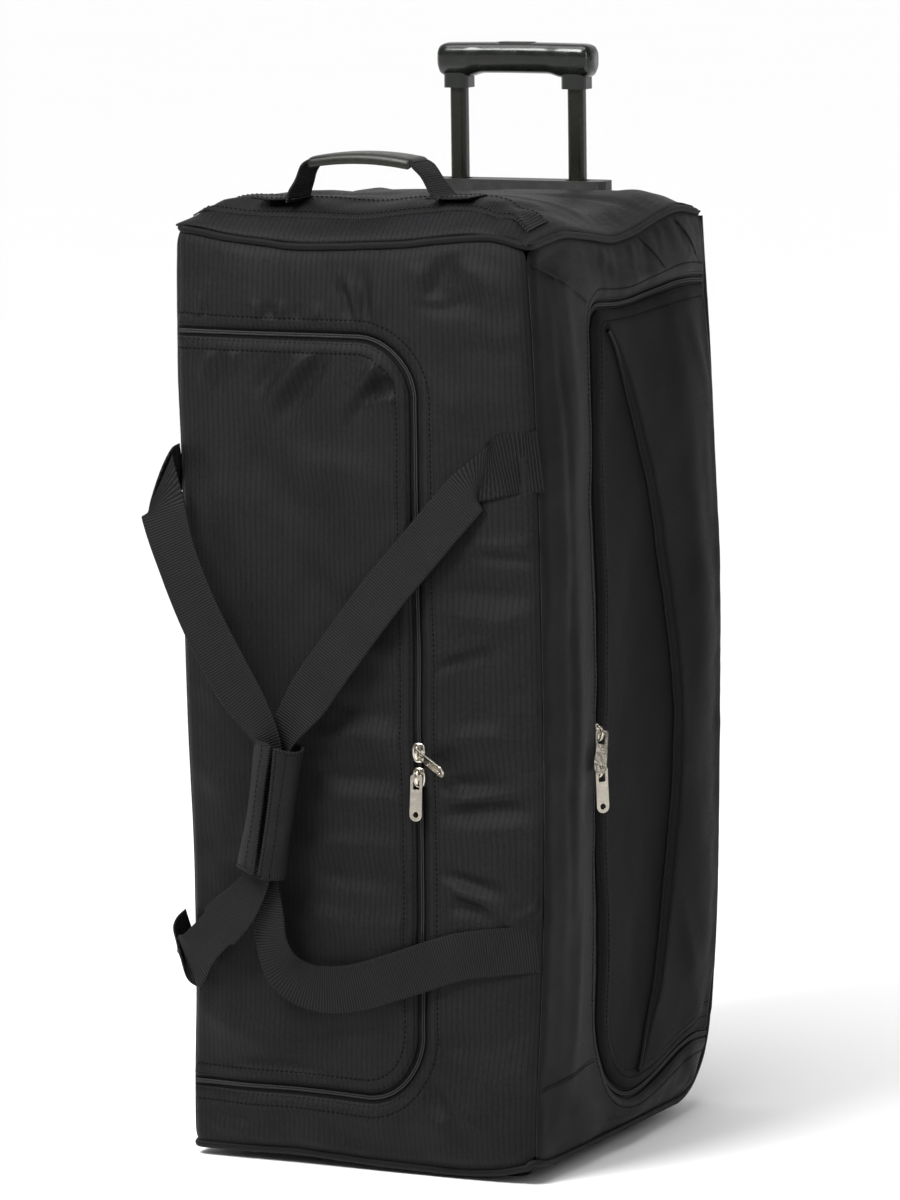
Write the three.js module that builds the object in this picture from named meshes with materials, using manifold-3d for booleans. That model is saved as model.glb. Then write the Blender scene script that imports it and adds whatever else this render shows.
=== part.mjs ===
// Rolling duffel bag that stands on its wheel end.
// Units are millimetres. +Z is up, -Y is the front with the large zipped flap, +X is the side with the
// zipped pocket and +Y is the back with the telescopic handle and the wheels.
import * as THREE from 'three';
import { mergeVertices } from 'three/addons/utils/BufferGeometryUtils.js';
import Module from 'manifold-3d';

const wasm = await Module();
wasm.setup();

// ---------------------------------------------------------------- driving dimensions
const HALF_W = 157; // half the width of the body, along X
const HALF_D = 172; // half the depth of the body, along Y
const Z_LOW = 11; // lowest line of the body's outline
const Z_PIPE_TOP = 754; // centre line of the piping round the top panel
const CROWN = 20; // rise of the padded top panel above its rim
const WALL = 3; // thickness of a lined fabric wall
const SIDE_WALL = 4;
const CORNER_R = 70; // radius of the back-bottom corner, seen from the side
const PIPE_R = 3.2;
const GAP = 0.3;

const FLAP_X = 57; // coil line of the U-shaped front zip
const FLAP_TOP = 677;
const FLAP_BOTTOM = 65;
const FLAP_R = 50;
const TAPE = 13; // zip tape on each side of the coil
const COIL_GAP = 0.4; // each half stops this far from the coil line
const TAPE_T = 1.2;

const POCKET_Y = -70; // coil line of the side pocket's zip
const POCKET_TOP = 698;
const POCKET_BOTTOM = 62;
const POCKET_R_TOP = 24;
const POCKET_R_LOW = 62;
const POCKET_HINGE_Y = 160;
const POCKET_DEPTH = 24;

const WEB = 38; // carry-strap webbing width
const WEB_T = 2.4;

const WHEEL_R = 33;
const WHEEL_W = 24;
const WHEEL_X = 94;
const WHEEL_Y = 140;
const AXLE_R = 4;
const WELL_R = 37;

const TUBE_X = 54; // half the spacing of the telescopic tubes
const TUBE_Y = 148;
const INNER = [14, 12]; // tube sections, along X and along Y
const MID = [18, 16];
const OUTER = [22, 20];
const MID_WALL = 1.3;
const OUTER_WALL = 1.3;
const INNER_TOP = 868; // the handle is drawn out by about 100 mm
const GRIP_W = 140;
const GRIP_H = 25;

const GRAB_Y = -135; // top grab handle
const GRAB_X = 57;
const LINER_Y = 130;

// ---------------------------------------------------------------- helpers
const V = (x, y, z) => new THREE.Vector3(x, y, z);
const root = new THREE.Group();

function material(color, roughness, metalness = 0) {
  return new THREE.MeshStandardMaterial({ color, roughness, metalness, side: THREE.FrontSide });
}
const fabric = () => material(0x17171a, 0.85);
const webbing = () => material(0x131315, 0.9);
const plastic = () => material(0x0e0e0f, 0.5);
const gloss = () => material(0x0c0e0c, 0.25);
const nickel = () => material(0xc9c4b8, 0.28, 1);
const tubeMetal = () => material(0x15170f, 0.3, 0.8);
const rubber = () => material(0x101010, 0.9);

function add(name, geometry, mat) {
  const g = geometry.clone();
  for (const key of Object.keys(g.attributes)) if (key !== 'position') g.deleteAttribute(key);
  const merged = mergeVertices(g, 1e-4);
  merged.computeVertexNormals();
  const mesh = new THREE.Mesh(merged, mat);
  mesh.name = name;
  root.add(mesh);
  return mesh;
}

function solid(geometry) {
  const g = geometry.index ? geometry.toNonIndexed() : geometry.clone();
  for (const key of Object.keys(g.attributes)) if (key !== 'position') g.deleteAttribute(key);
  const merged = mergeVertices(g, 1e-4);
  return new wasm.Manifold(
    new wasm.Mesh({
      numProp: 3,
      vertProperties: new Float32Array(merged.attributes.position.array),
      triVerts: new Uint32Array(merged.index.array),
    }),
  );
}

function geometryOf(manifold) {
  const mesh = manifold.getMesh();
  const g = new THREE.BufferGeometry();
  g.setAttribute('position', new THREE.BufferAttribute(new Float32Array(mesh.vertProperties), 3));
  g.setIndex(new THREE.BufferAttribute(new Uint32Array(mesh.triVerts), 1));
  return g;
}
const cut = (a, ...tools) =>
  geometryOf(tools.reduce((m, t) => m.subtract(solid(t)), solid(a)));

// Extrusions of a 2-D outline in each of the three main planes.
function alongZ(shape, z0, z1, curveSegments = 6) {
  const g = new THREE.ExtrudeGeometry(shape, { depth: z1 - z0, bevelEnabled: false, curveSegments });
  return g.translate(0, 0, z0);
}
function alongY(shape, y0, y1, curveSegments = 6) {
  const g = new THREE.ExtrudeGeometry(shape, { depth: y1 - y0, bevelEnabled: false, curveSegments });
  return g.rotateX(Math.PI / 2).translate(0, y1, 0);
}
function alongX(shape, x0, x1, curveSegments = 6) {
  const g = new THREE.ExtrudeGeometry(shape, { depth: x1 - x0, bevelEnabled: false, curveSegments });
  const m = new THREE.Matrix4().set(0, 0, 1, x0, 1, 0, 0, 0, 0, 1, 0, 0, 0, 0, 0, 1);
  return g.applyMatrix4(m);
}
const outline = (pts) => new THREE.Shape(pts.map((p) => new THREE.Vector2(p[0], p[1])));
function block(x0, x1, y0, y1, z0, z1) {
  return new THREE.BoxGeometry(x1 - x0, y1 - y0, z1 - z0).translate((x0 + x1) / 2, (y0 + y1) / 2, (z0 + z1) / 2);
}
function rodX(x0, x1, y, z, r, n = 24) {
  return new THREE.CylinderGeometry(r, r, x1 - x0, n).rotateZ(Math.PI / 2).translate((x0 + x1) / 2, y, z);
}
function roundRect(w, h, r, n = 3, cx = 0, cy = 0) {
  const pts = [];
  for (const [sx, sy, a0] of [[1, 1, 0], [-1, 1, 90], [-1, -1, 180], [1, -1, 270]]) {
    for (let i = 0; i <= n; i++) {
      const a = ((a0 + (90 * i) / n) * Math.PI) / 180;
      pts.push([cx + sx * (w / 2 - r) + r * Math.cos(a), cy + sy * (h / 2 - r) + r * Math.sin(a)]);
    }
  }
  return pts;
}
function ring(outer, inner) {
  const s = outline(outer);
  s.holes.push(new THREE.Path(inner.map((p) => new THREE.Vector2(p[0], p[1]))));
  return s;
}

// A strip of webbing: a box bent along a route. Each stop gives a centre and the direction of the width,
// or the way the strip faces where facing is true.
function ribbon(stops, width, thickness, facing = false) {
  const n = stops.length - 1;
  const g = new THREE.BoxGeometry(width, thickness, n, 1, 1, n);
  const p = g.attributes.position;
  for (let i = 0; i < p.count; i++) {
    const k = Math.round(p.getZ(i) + n / 2);
    const t = V(...stops[Math.min(n, k + 1)][0]).sub(V(...stops[Math.max(0, k - 1)][0])).normalize();
    const w = facing ? V(...stops[k][1]).cross(t) : V(...stops[k][1]);
    w.addScaledVector(t, -w.dot(t)).normalize();
    const h = t.clone().cross(w);
    const c = V(...stops[k][0]).addScaledVector(w, p.getX(i)).addScaledVector(h, p.getY(i));
    p.setXYZ(i, c.x, c.y, c.z);
  }
  return g;
}
// A piped edge: a cylinder bent along an open route.
function cord(points, r, sides = 8) {
  const n = points.length - 1;
  const g = new THREE.CylinderGeometry(r, r, n, sides, n);
  const p = g.attributes.position;
  const q = points.map((c) => V(...c));
  const frames = [];
  let side = null;
  for (let k = 0; k <= n; k++) {
    const t = q[Math.min(n, k + 1)].clone().sub(q[Math.max(0, k - 1)]).normalize();
    if (!side) side = Math.abs(t.x) < 0.9 ? V(1, 0, 0) : V(0, 1, 0);
    side = side.clone().addScaledVector(t, -side.dot(t)).normalize();
    frames.push([side, t.clone().cross(side)]);
  }
  for (let i = 0; i < p.count; i++) {
    const k = Math.round(n / 2 - p.getY(i));
    const [a, b] = frames[k];
    const c = q[k].clone().addScaledVector(a, p.getX(i)).addScaledVector(b, p.getZ(i));
    p.setXYZ(i, c.x, c.y, c.z);
  }
  return g;
}
// A piped edge that closes on itself in a level plane: a torus laid along the route.
function loop(points, r, sides = 8) {
  const n = points.length;
  const g = new THREE.TorusGeometry(10, r, sides, n);
  const p = g.attributes.position;
  const q = points.map((c) => V(...c));
  for (let i = 0; i < p.count; i++) {
    const a = Math.atan2(p.getY(i), p.getX(i));
    const k = ((Math.round((a / (2 * Math.PI)) * n) % n) + n) % n;
    const out = Math.hypot(p.getX(i), p.getY(i)) - 10;
    const t = q[(k + 1) % n].clone().sub(q[(k + n - 1) % n]).normalize();
    const side = t.clone().cross(V(0, 0, 1));
    const c = q[k].clone().addScaledVector(side, out);
    p.setXYZ(i, c.x, c.y, c.z + p.getZ(i));
  }
  return g;
}
function arcPoints(cx, cy, r, a0, a1, n) {
  const pts = [];
  for (let i = 0; i <= n; i++) {
    const a = ((a0 + ((a1 - a0) * i) / n) * Math.PI) / 180;
    pts.push([cx + r * Math.cos(a), cy + r * Math.sin(a)]);
  }
  return pts;
}

// ---------------------------------------------------------------- outlines
// Front U-zip, moved outwards by d: from the left edge along the top, down the right and back along the bottom.
function flapLine(d, left) {
  return [
    [left, FLAP_TOP + d],
    ...arcPoints(FLAP_X - FLAP_R, FLAP_TOP - FLAP_R, FLAP_R + d, 90, 0, 7),
    ...arcPoints(FLAP_X - FLAP_R, FLAP_BOTTOM + FLAP_R, FLAP_R + d, 0, -90, 7),
    [left, FLAP_BOTTOM - d],
  ];
}
// Pocket U-zip in (Y, Z), moved outwards by d: from the back along the top, down the front and back along the bottom.
function pocketLine(d, back) {
  return [
    [back, POCKET_TOP + d],
    ...arcPoints(POCKET_Y + POCKET_R_TOP, POCKET_TOP - POCKET_R_TOP, POCKET_R_TOP + d, 90, 180, 4),
    ...arcPoints(POCKET_Y + POCKET_R_LOW, POCKET_BOTTOM + POCKET_R_LOW, POCKET_R_LOW + d, 180, 270, 7),
    [back, POCKET_BOTTOM - d],
  ];
}
const CY = HALF_D - CORNER_R;
const CZ = Z_LOW + CORNER_R;
// Side profile of the body in (Y, Z), moved inwards by d, open at the top.
function sideLine(d, front, top) {
  return [
    [front, top],
    [front, Z_LOW + d],
    ...arcPoints(CY, CZ, CORNER_R - d, 270, 360, 8),
    [HALF_D - d, top],
  ];
}
// The padded top panel's rise above its rim.
function crown(x, y) {
  const u = Math.min(1, Math.abs(x) / HALF_W);
  const v = Math.min(1, Math.abs(y) / HALF_D);
  return CROWN * Math.sqrt((1 - u ** 4) * (1 - v ** 6));
}
const RIM = Z_PIPE_TOP + PIPE_R + 0.4; // underside of the top panel's rim
const topAt = (x, y) => RIM + WALL + crown(x, y);

// ---------------------------------------------------------------- body walls
const WALL_LOW = Z_LOW + 2 * PIPE_R + 0.4;
const WALL_TOP = Z_PIPE_TOP - PIPE_R - 0.4;
const FRONT_IN = -HALF_D + WALL; // inner face of the front wall
const SIDE_FRONT = FRONT_IN + 0.4;
const INSET = 2 * PIPE_R + 0.4;

// Front wall round the flap: a strip above, beside and below it.
add('front_panel', alongY(outline([
  [-HALF_W, WALL_LOW], [HALF_W, WALL_LOW], [HALF_W, WALL_TOP], [-HALF_W, WALL_TOP],
  ...flapLine(COIL_GAP, -HALF_W),
]), -HALF_D, FRONT_IN), fabric());

add('front_zip_tape_outer', alongY(outline([
  ...flapLine(COIL_GAP, -HALF_W), ...flapLine(TAPE, -HALF_W).reverse(),
]), -HALF_D - GAP - TAPE_T, -HALF_D - GAP), webbing());

add('left_side_panel', alongX(outline(sideLine(INSET, SIDE_FRONT, WALL_TOP)), -HALF_W, -HALF_W + SIDE_WALL), fabric());

// Right wall: a frame round the pocket's opening.
add('right_side_panel', cut(
  alongX(outline(sideLine(INSET, SIDE_FRONT, WALL_TOP)), HALF_W - SIDE_WALL, HALF_W),
  alongX(outline(pocketLine(COIL_GAP, POCKET_HINGE_Y + 0.4)), HALF_W - SIDE_WALL - 1, HALF_W + 1),
), fabric());

add('pocket_zip_tape_outer', alongX(outline([
  ...pocketLine(COIL_GAP, POCKET_HINGE_Y), ...pocketLine(TAPE, POCKET_HINGE_Y).reverse(),
]), HALF_W + GAP, HALF_W + GAP + TAPE_T), webbing());

// Shallow tray behind the pocket's opening.
{
  const x1 = HALF_W - SIDE_WALL - GAP;
  const x0 = x1 - POCKET_DEPTH;
  const outer = outline([...pocketLine(6, 128)]);
  const inner = outline([...pocketLine(4, 126)]);
  add('pocket_lining', cut(alongX(outer, x0, x1), alongX(inner, x0 + 2, x1 + 1)), fabric());
}

add('back_panel', block(-150.2, 150.2, HALF_D - 1 - WALL, HALF_D - 1, CZ + 0.3, WALL_TOP), fabric());

// Bottom wall: level at the front, then round the back-bottom corner.
{
  const x = HALF_W - 2 * PIPE_R - 0.4;
  const profile = outline([
    [-HALF_D + 2 * PIPE_R + 0.4, Z_LOW + 1],
    ...arcPoints(CY, CZ, CORNER_R - 1, 270, 360, 8),
    ...arcPoints(CY, CZ, CORNER_R - 1 - WALL, 360, 270, 8),
    [-HALF_D + 2 * PIPE_R + 0.4, Z_LOW + 1 + WALL],
  ]);
  const notch = (s) => block(
    Math.min(s * 77.6, s * 110.4), Math.max(s * 77.6, s * 110.4), 95.6, HALF_D + 5, Z_LOW - 5, 81);
  add('bottom_panel', cut(alongX(profile, -x, x), notch(1), notch(-1)), fabric());
}

// Top wall: a padded, crowned sheet with a slot for the telescopic handle.
{
  const g = new THREE.BoxGeometry(2 * HALF_W, 2 * HALF_D, WALL, 14, 14, 1);
  const p = g.attributes.position;
  for (let i = 0; i < p.count; i++) {
    const x = p.getX(i);
    const y = p.getY(i);
    p.setZ(i, p.getZ(i) + RIM + WALL / 2 + crown(x, y));
  }
  add('top_panel', cut(g, block(-82.4, 82.4, 134.6, 161.4, RIM - 5, RIM + 60)), fabric());
}

// Piping round the top and along the lower and back edges.
{
  const x = HALF_W - PIPE_R;
  const y = HALF_D - PIPE_R;
  const r = 10;
  const path = [
    ...arcPoints(x - r, y - r, r, 0, 90, 3), ...arcPoints(-x + r, y - r, r, 90, 180, 3),
    ...arcPoints(-x + r, -y + r, r, 180, 270, 3), ...arcPoints(x - r, -y + r, r, 270, 360, 3),
  ];
  add('top_piping', loop(path.map((c) => [c[0], c[1], Z_PIPE_TOP]), PIPE_R, 8), webbing());

  const z = Z_LOW + PIPE_R;
  const side = [
    [HALF_D - PIPE_R, WALL_TOP - 0.2],
    ...arcPoints(CY, CZ, CORNER_R - PIPE_R, 360, 270, 8),
  ];
  const k = 4; // radius of the front corners
  const front = arcPoints(x - k, -y + k, k, 0, -90, 3);
  const pts = [
    ...side.map((c) => [x, c[0], c[1]]),
    ...front.map((c) => [c[0], c[1], z]),
    ...front.slice().reverse().map((c) => [-c[0], c[1], z]),
    ...side.slice().reverse().map((c) => [-x, c[0], c[1]]),
  ];
  add('bottom_piping', cord(pts, PIPE_R, 8), webbing());
}

// Board between the main compartment and the handle's tubes, notched over the wheel housings.
add('back_lining_board', alongY(outline([
  [-150, 23.5], [-110.6, 23.5], [-110.6, 81], [-77.4, 81], [-77.4, 23.5],
  [77.4, 23.5], [77.4, 81], [110.6, 81], [110.6, 23.5], [150, 23.5], [150, RIM - 1], [-150, RIM - 1],
]), LINER_Y, LINER_Y + WALL), fabric());

// ---------------------------------------------------------------- front flap
add('flap_panel', alongY(outline(flapLine(-COIL_GAP, -HALF_W)), -HALF_D, FRONT_IN), fabric());
add('flap_zip_tape', alongY(outline([
  ...flapLine(-TAPE, -HALF_W + 1), ...flapLine(-COIL_GAP, -HALF_W + 1).reverse(),
]), -HALF_D - GAP - TAPE_T, -HALF_D - GAP), webbing());

// ---------------------------------------------------------------- side pocket flap
add('pocket_panel', alongX(outline(pocketLine(-COIL_GAP, POCKET_HINGE_Y - 0.4)), HALF_W - WALL, HALF_W), fabric());
add('pocket_zip_tape_inner', alongX(outline([
  ...pocketLine(-TAPE, POCKET_HINGE_Y - 1), ...pocketLine(-COIL_GAP, POCKET_HINGE_Y - 1).reverse(),
]), HALF_W + GAP, HALF_W + GAP + TAPE_T), webbing());
{
  const pts = [];
  for (let i = 0; i <= 16; i++) {
    const t = i / 16;
    const z = 676 - t * (676 - 80);
    pts.push([HALF_W + GAP + 1.6, -44 + 49 * t + 84 * Math.sin(Math.PI * t) ** 0.8, z]);
  }
  add('pocket_arc_piping', cord(pts, 1.6, 6), webbing());
}

// ---------------------------------------------------------------- zip sliders and pulls
// A slider's body with a bridge for its pull, built at the origin facing -Y: the body lies in y <= 0.
function sliderBody() {
  const body = new THREE.ExtrudeGeometry(
    outline([[-5, -8], [5, -8], [6.2, 2], [5, 8], [-5, 8], [-6.2, 2]]), { depth: 3, bevelEnabled: false })
    .rotateX(Math.PI / 2);
  const arch = new THREE.Shape();
  arch.moveTo(-5, -0.5);
  arch.lineTo(-5, 2);
  arch.quadraticCurveTo(-4.2, 5, 0, 5);
  arch.quadraticCurveTo(4.2, 5, 5, 2);
  arch.lineTo(5, -0.5);
  arch.lineTo(3.6, -0.5);
  arch.lineTo(3.6, 2.2);
  arch.quadraticCurveTo(3.2, 3.9, 0, 3.9);
  arch.quadraticCurveTo(-3.2, 3.9, -3.6, 2.2);
  arch.lineTo(-3.6, -0.5);
  // The bridge runs along Z and stands out towards -Y.
  const bridge = new THREE.ExtrudeGeometry(arch, { depth: 2, bevelEnabled: false, curveSegments: 3 })
    .applyMatrix4(new THREE.Matrix4().set(0, 0, 1, -1, 0, -1, 0, -3, 1, 0, 0, 0, 0, 0, 0, 1));
  return geometryOf(solid(body).add(solid(bridge)));
}
// A flat pull: rounded plate with a window at the hinge end and a hole at the free end. The hinge axis is X
// through the origin and the plate hangs towards -Z, its bar on the axis, centred on y = 0.
function pullPlate() {
  const s = outline([...roundRect(13, 37, 4.5, 3, 0, -17.6)]);
  s.holes.push(new THREE.Path(roundRect(7.8, 8.4, 1.5, 1, 0, -4.8).map((p) => new THREE.Vector2(p[0], p[1]))));
  s.holes.push(new THREE.Path(roundRect(5, 5, 2.4, 2, 0, -30).map((p) => new THREE.Vector2(p[0], p[1]))));
  return new THREE.ExtrudeGeometry(s, { depth: 1.2, bevelEnabled: false })
    .rotateX(Math.PI / 2).translate(0, 0.6, 0);
}
function placed(geometry, position, rotation) {
  const m = new THREE.Matrix4().makeRotationFromEuler(new THREE.Euler(...rotation));
  m.setPosition(...position);
  return geometry.applyMatrix4(m);
}
const SLIDE_Y = -HALF_D - GAP - TAPE_T - 0.4;
const PULL_OUT = 5; // the pull's hinge line stands this far in front of the slider's back
add('front_slider_upper', sliderBody().translate(FLAP_X, SLIDE_Y, 346), nickel());
add('front_slider_lower', sliderBody().translate(FLAP_X, SLIDE_Y, 326), nickel());
// The upper pull is flipped out and to the right; the lower pull hangs down.
const UPPER_PULL = [-0.85, -0.5, 0];
add('front_pull_upper', placed(pullPlate(), [FLAP_X, SLIDE_Y - PULL_OUT, 346], UPPER_PULL), nickel());
add('front_pull_lower', placed(pullPlate(), [FLAP_X, SLIDE_Y - PULL_OUT, 326], [-0.07, 0, 0]), nickel());

const SIDE_X = HALF_W + GAP + TAPE_T + 0.4;
add('pocket_slider_upper', sliderBody().rotateZ(Math.PI / 2).translate(SIDE_X, POCKET_Y, 352), nickel());
add('pocket_slider_lower', sliderBody().rotateZ(Math.PI / 2).translate(SIDE_X, POCKET_Y, 322), nickel());
{
  const turn = new THREE.Matrix4().makeRotationZ(Math.PI / 2);
  const up = pullPlate();
  up.applyMatrix4(new THREE.Matrix4().makeRotationX(-0.42));
  up.applyMatrix4(turn);
  add('pocket_pull_upper', up.translate(SIDE_X + PULL_OUT, POCKET_Y, 352), nickel());
  const low = pullPlate();
  low.applyMatrix4(new THREE.Matrix4().makeRotationX(-0.07));
  low.applyMatrix4(turn);
  add('pocket_pull_lower', low.translate(SIDE_X + PULL_OUT, POCKET_Y, 322), nickel());
}

// ---------------------------------------------------------------- carry straps and their wrap
// Each strap is one length of webbing from an upper to a lower seam, held in the middle by the wrap.
const OUTWARD = [0, -1, 0];
const RIGHT_STRAP = [
  [[155, -176, 577], OUTWARD], [[128, -181, 568], OUTWARD], [[92, -186, 537], OUTWARD],
  [[48, -190, 486], OUTWARD], [[6, -194, 430], OUTWARD], [[-26, -197, 384], OUTWARD],
  [[-46, -200.6, 349], OUTWARD], [[-55, -200.6, 298], OUTWARD], [[-63.5, -200.6, 247], OUTWARD],
  [[-70, -199, 208], OUTWARD], [[-71, -196, 180], OUTWARD], [[-60, -192, 158], OUTWARD],
  [[-36, -189, 148], OUTWARD], [[0, -187, 151], OUTWARD], [[40, -185, 164], OUTWARD],
  [[90, -181, 184], OUTWARD], [[155, -176, 199], OUTWARD],
];
const LEFT_STRAP = [
  [[-158, -186, 577], [-1, 0.3, 0]], [[-161.5, -192.5, 570], [-1, 0.2, 0]], [[-160.5, -197, 548], [-1, -0.3, 0]],
  [[-154, -203, 516], [-0.8, -0.6, 0]], [[-140, -206, 484], [-0.4, -0.9, 0]], [[-116, -207.4, 444], [-0.1, -1, 0]],
  [[-84, -207.4, 396], OUTWARD], [[-46, -207.4, 349], OUTWARD], [[-55, -207.4, 298], OUTWARD],
  [[-63.5, -207.4, 247], OUTWARD], [[-84, -205, 222], OUTWARD], [[-112, -202, 204], [-0.2, -1, 0]],
  [[-140, -198, 194], [-0.6, -0.8, 0]], [[-158, -191, 194], [-1, 0, 0]], [[-158, -182, 197], [-1, 0.3, 0]],
];
add('carry_strap_right', ribbon(RIGHT_STRAP, WEB, WEB_T, true), webbing());
add('carry_strap_left', ribbon(LEFT_STRAP, WEB, WEB_T, true), webbing());
// The wrap is a C-shaped cuff of doubled webbing, open on its left side.
{
  const pts = [
    ...arcPoints(0, 0, 15, 150, -150, 10).map((c) => [c[0] * 1.68, c[1]]),
    ...arcPoints(0, 0, 12.4, -150, 150, 10).map((c) => [c[0] * 1.8, c[1]]),
  ];
  const g = alongZ(outline(pts), -50, 50);
  g.applyMatrix4(new THREE.Matrix4().makeRotationFromEuler(new THREE.Euler(0, 0.167, 0)));
  add('handle_wrap', g.translate(-55, -204, 298), webbing());
}

// ---------------------------------------------------------------- top grab handle
{
  // Webbing sewn along the top panel under the handle.
  const stops = [];
  for (let i = 0; i <= 12; i++) {
    const x = -148 + (296 * i) / 12;
    let z = -1e9;
    for (const dy of [-19, 0, 19]) z = Math.max(z, topAt(x, GRAB_Y + dy));
    stops.push([[x, GRAB_Y, z + 1.6 + 0.9], [0, 1, 0]]);
  }
  add('top_webbing', ribbon(stops, WEB, 1.6), webbing());
  const base = topAt(GRAB_X, GRAB_Y) + 5.4;
  const loopStops = [
    [[-GRAB_X - 6, GRAB_Y, base], [0, 1, 0]],
    [[-GRAB_X - 7, GRAB_Y, base + 12], [0, 1, 0]],
    [[-GRAB_X - 2, GRAB_Y, base + 24], [0, 1, 0]],
    [[-44, GRAB_Y, base + 30], [0, 1, 0]],
    [[-22, GRAB_Y, base + 33], [0, 1, 0]],
    [[0, GRAB_Y, base + 34], [0, 1, 0]],
    [[22, GRAB_Y, base + 33], [0, 1, 0]],
    [[44, GRAB_Y, base + 30], [0, 1, 0]],
    [[GRAB_X + 2, GRAB_Y, base + 24], [0, 1, 0]],
    [[GRAB_X + 7, GRAB_Y, base + 12], [0, 1, 0]],
    [[GRAB_X + 6, GRAB_Y, base], [0, 1, 0]],
  ];
  add('grab_webbing', ribbon(loopStops, 32, 2.2), webbing());
  // Moulded sleeve over the middle of the grab handle, open underneath.
  const arc = [];
  for (let i = 0; i <= 8; i++) {
    const x = -46 + (92 * i) / 8;
    arc.push([[x, GRAB_Y, base + 34 + 3.2 - 4.4 * (x / 46) ** 2], [0, 1, 0]]);
  }
  add('grab_sleeve', ribbon(arc, 36, 3.0), plastic());
}

// ---------------------------------------------------------------- telescopic handle
function tubeAt(x, outer, wall, z0, z1) {
  const o = roundRect(outer[0], outer[1], 4, 3, x, TUBE_Y);
  const i = roundRect(outer[0] - 2 * wall, outer[1] - 2 * wall, 4 - wall, 3, x, TUBE_Y);
  return alongZ(ring(o, i), z0, z1);
}
const BEZEL_Z0 = RIM + CROWN * 0.55;
const BEZEL_TOP = 779;
for (const [side, s] of [['left', -1], ['right', 1]]) {
  const x = s * TUBE_X;
  add(`outer_tube_${side}`, tubeAt(x, OUTER, OUTER_WALL, 104.3, BEZEL_Z0 - 0.4), tubeMetal());
  add(`mid_tube_${side}`, tubeAt(x, MID, MID_WALL, 112, BEZEL_TOP - 3), tubeMetal());
  add(`inner_tube_${side}`, alongZ(outline(roundRect(INNER[0], INNER[1], 3.6, 3, x, TUBE_Y)), 300, INNER_TOP - 0.3), tubeMetal());
  const collar = ring(roundRect(22, 21, 5, 3, x, TUBE_Y), roundRect(INNER[0] + 0.6, INNER[1] + 0.6, 3.9, 3, x, TUBE_Y));
  add(`grip_collar_${side}`, alongZ(collar, 855, INNER_TOP - 0.3), gloss());
}
// Moulded bezel in the top panel that the tubes rise through.
{
  const holes = [-1, 1].map((s) => alongZ(outline(roundRect(MID[0] + 1, MID[1] + 1, 4.4, 3, s * TUBE_X, TUBE_Y)), BEZEL_Z0 - 5, BEZEL_TOP + 5));
  add('top_bezel', cut(alongZ(outline(roundRect(164, 26, 8, 3, 0, TUBE_Y)), BEZEL_Z0, BEZEL_TOP), ...holes), plastic());
}
add('tube_foot_bracket', block(-80, 80, TUBE_Y - 12, TUBE_Y + 14, 86, 104), plastic());
// Grip: a rounded bar, with a well in its top for the release button.
{
  const profile = outline(roundRect(GRIP_W, GRIP_H, 9, 4, 0, INNER_TOP + GRIP_H / 2));
  const bar = alongY(profile, TUBE_Y - 13, TUBE_Y + 13);
  const well = alongZ(outline(roundRect(32.8, 12.8, 5, 3, 0, TUBE_Y)), INNER_TOP + GRIP_H - 8, INNER_TOP + GRIP_H + 5);
  add('trolley_grip', cut(bar, well), gloss());
  const z1 = INNER_TOP + GRIP_H;
  add('release_button', alongZ(outline(roundRect(32, 12, 4.6, 3, 0, TUBE_Y)), z1 - 4.5, z1 + 0.5), plastic());
}

// ---------------------------------------------------------------- base, wheels and back
for (const [side, s] of [['left', -1], ['right', 1]]) {
  const lo = Math.min(s * 78, s * 110);
  const hi = Math.max(s * 78, s * 110);
  const wellLo = Math.min(s * 81, s * 107.4);
  const wellHi = Math.max(s * 81, s * 107.4);
  const profile = outline([
    [96, Z_LOW + 1], ...arcPoints(CY, CZ, CORNER_R - 1, 270, 359, 8), [108, 80.4], [96, 66],
  ]);
  add(`wheel_housing_${side}`, cut(
    alongX(profile, lo, hi),
    rodX(wellLo, wellHi, WHEEL_Y, WHEEL_R, WELL_R, 28),
    rodX(lo - 1, hi + 1, WHEEL_Y, WHEEL_R, AXLE_R + 0.35, 16),
  ), plastic());
  add(`axle_${side}`, rodX(lo + 0.4, hi - 0.4, WHEEL_Y, WHEEL_R, AXLE_R, 24), nickel());
  const lathe = (pts, n) => new THREE.LatheGeometry(pts.map((p) => new THREE.Vector2(p[0], p[1])), n)
    .rotateZ(Math.PI / 2).translate(s * WHEEL_X, WHEEL_Y, WHEEL_R);
  const w = WHEEL_W / 2;
  add(`wheel_tyre_${side}`, lathe([[24, -w], [30, -w], [WHEEL_R, -w + 3.5], [WHEEL_R, w - 3.5], [30, w], [24, w], [24, -w]], 32), rubber());
  add(`wheel_hub_${side}`, lathe([
    [AXLE_R + 0.16, -w], [8, -w], [8, -w + 3], [19, -w + 3], [20, -w], [23.7, -w],
    [23.7, w], [20, w], [19, w - 3], [8, w - 3], [8, w], [AXLE_R + 0.16, w], [AXLE_R + 0.16, -w],
  ], 32), plastic());
  // Front foot and back skid rail.
  add(`front_foot_${side}`, new THREE.CylinderGeometry(15, 12, Z_LOW + 1 - GAP, 20)
    .rotateX(Math.PI / 2).translate(s * 118, -132, (Z_LOW + 1 - GAP) / 2), rubber());
  add(`skid_rail_${side}`, alongZ(outline([
    [s * 96 - 9, HALF_D - 1 + GAP], [s * 96 + 9, HALF_D - 1 + GAP], [s * 96 + 5, HALF_D + 4], [s * 96 - 5, HALF_D + 4],
  ]), 96, 640), plastic());
}

// The origin is on the floor at the middle of the whole part's outline.
{
  const box = new THREE.Box3().setFromObject(root);
  root.position.set(-(box.min.x + box.max.x) / 2, -(box.min.y + box.max.y) / 2, 0);
  root.updateMatrixWorld(true);
}

export default root;
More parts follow.
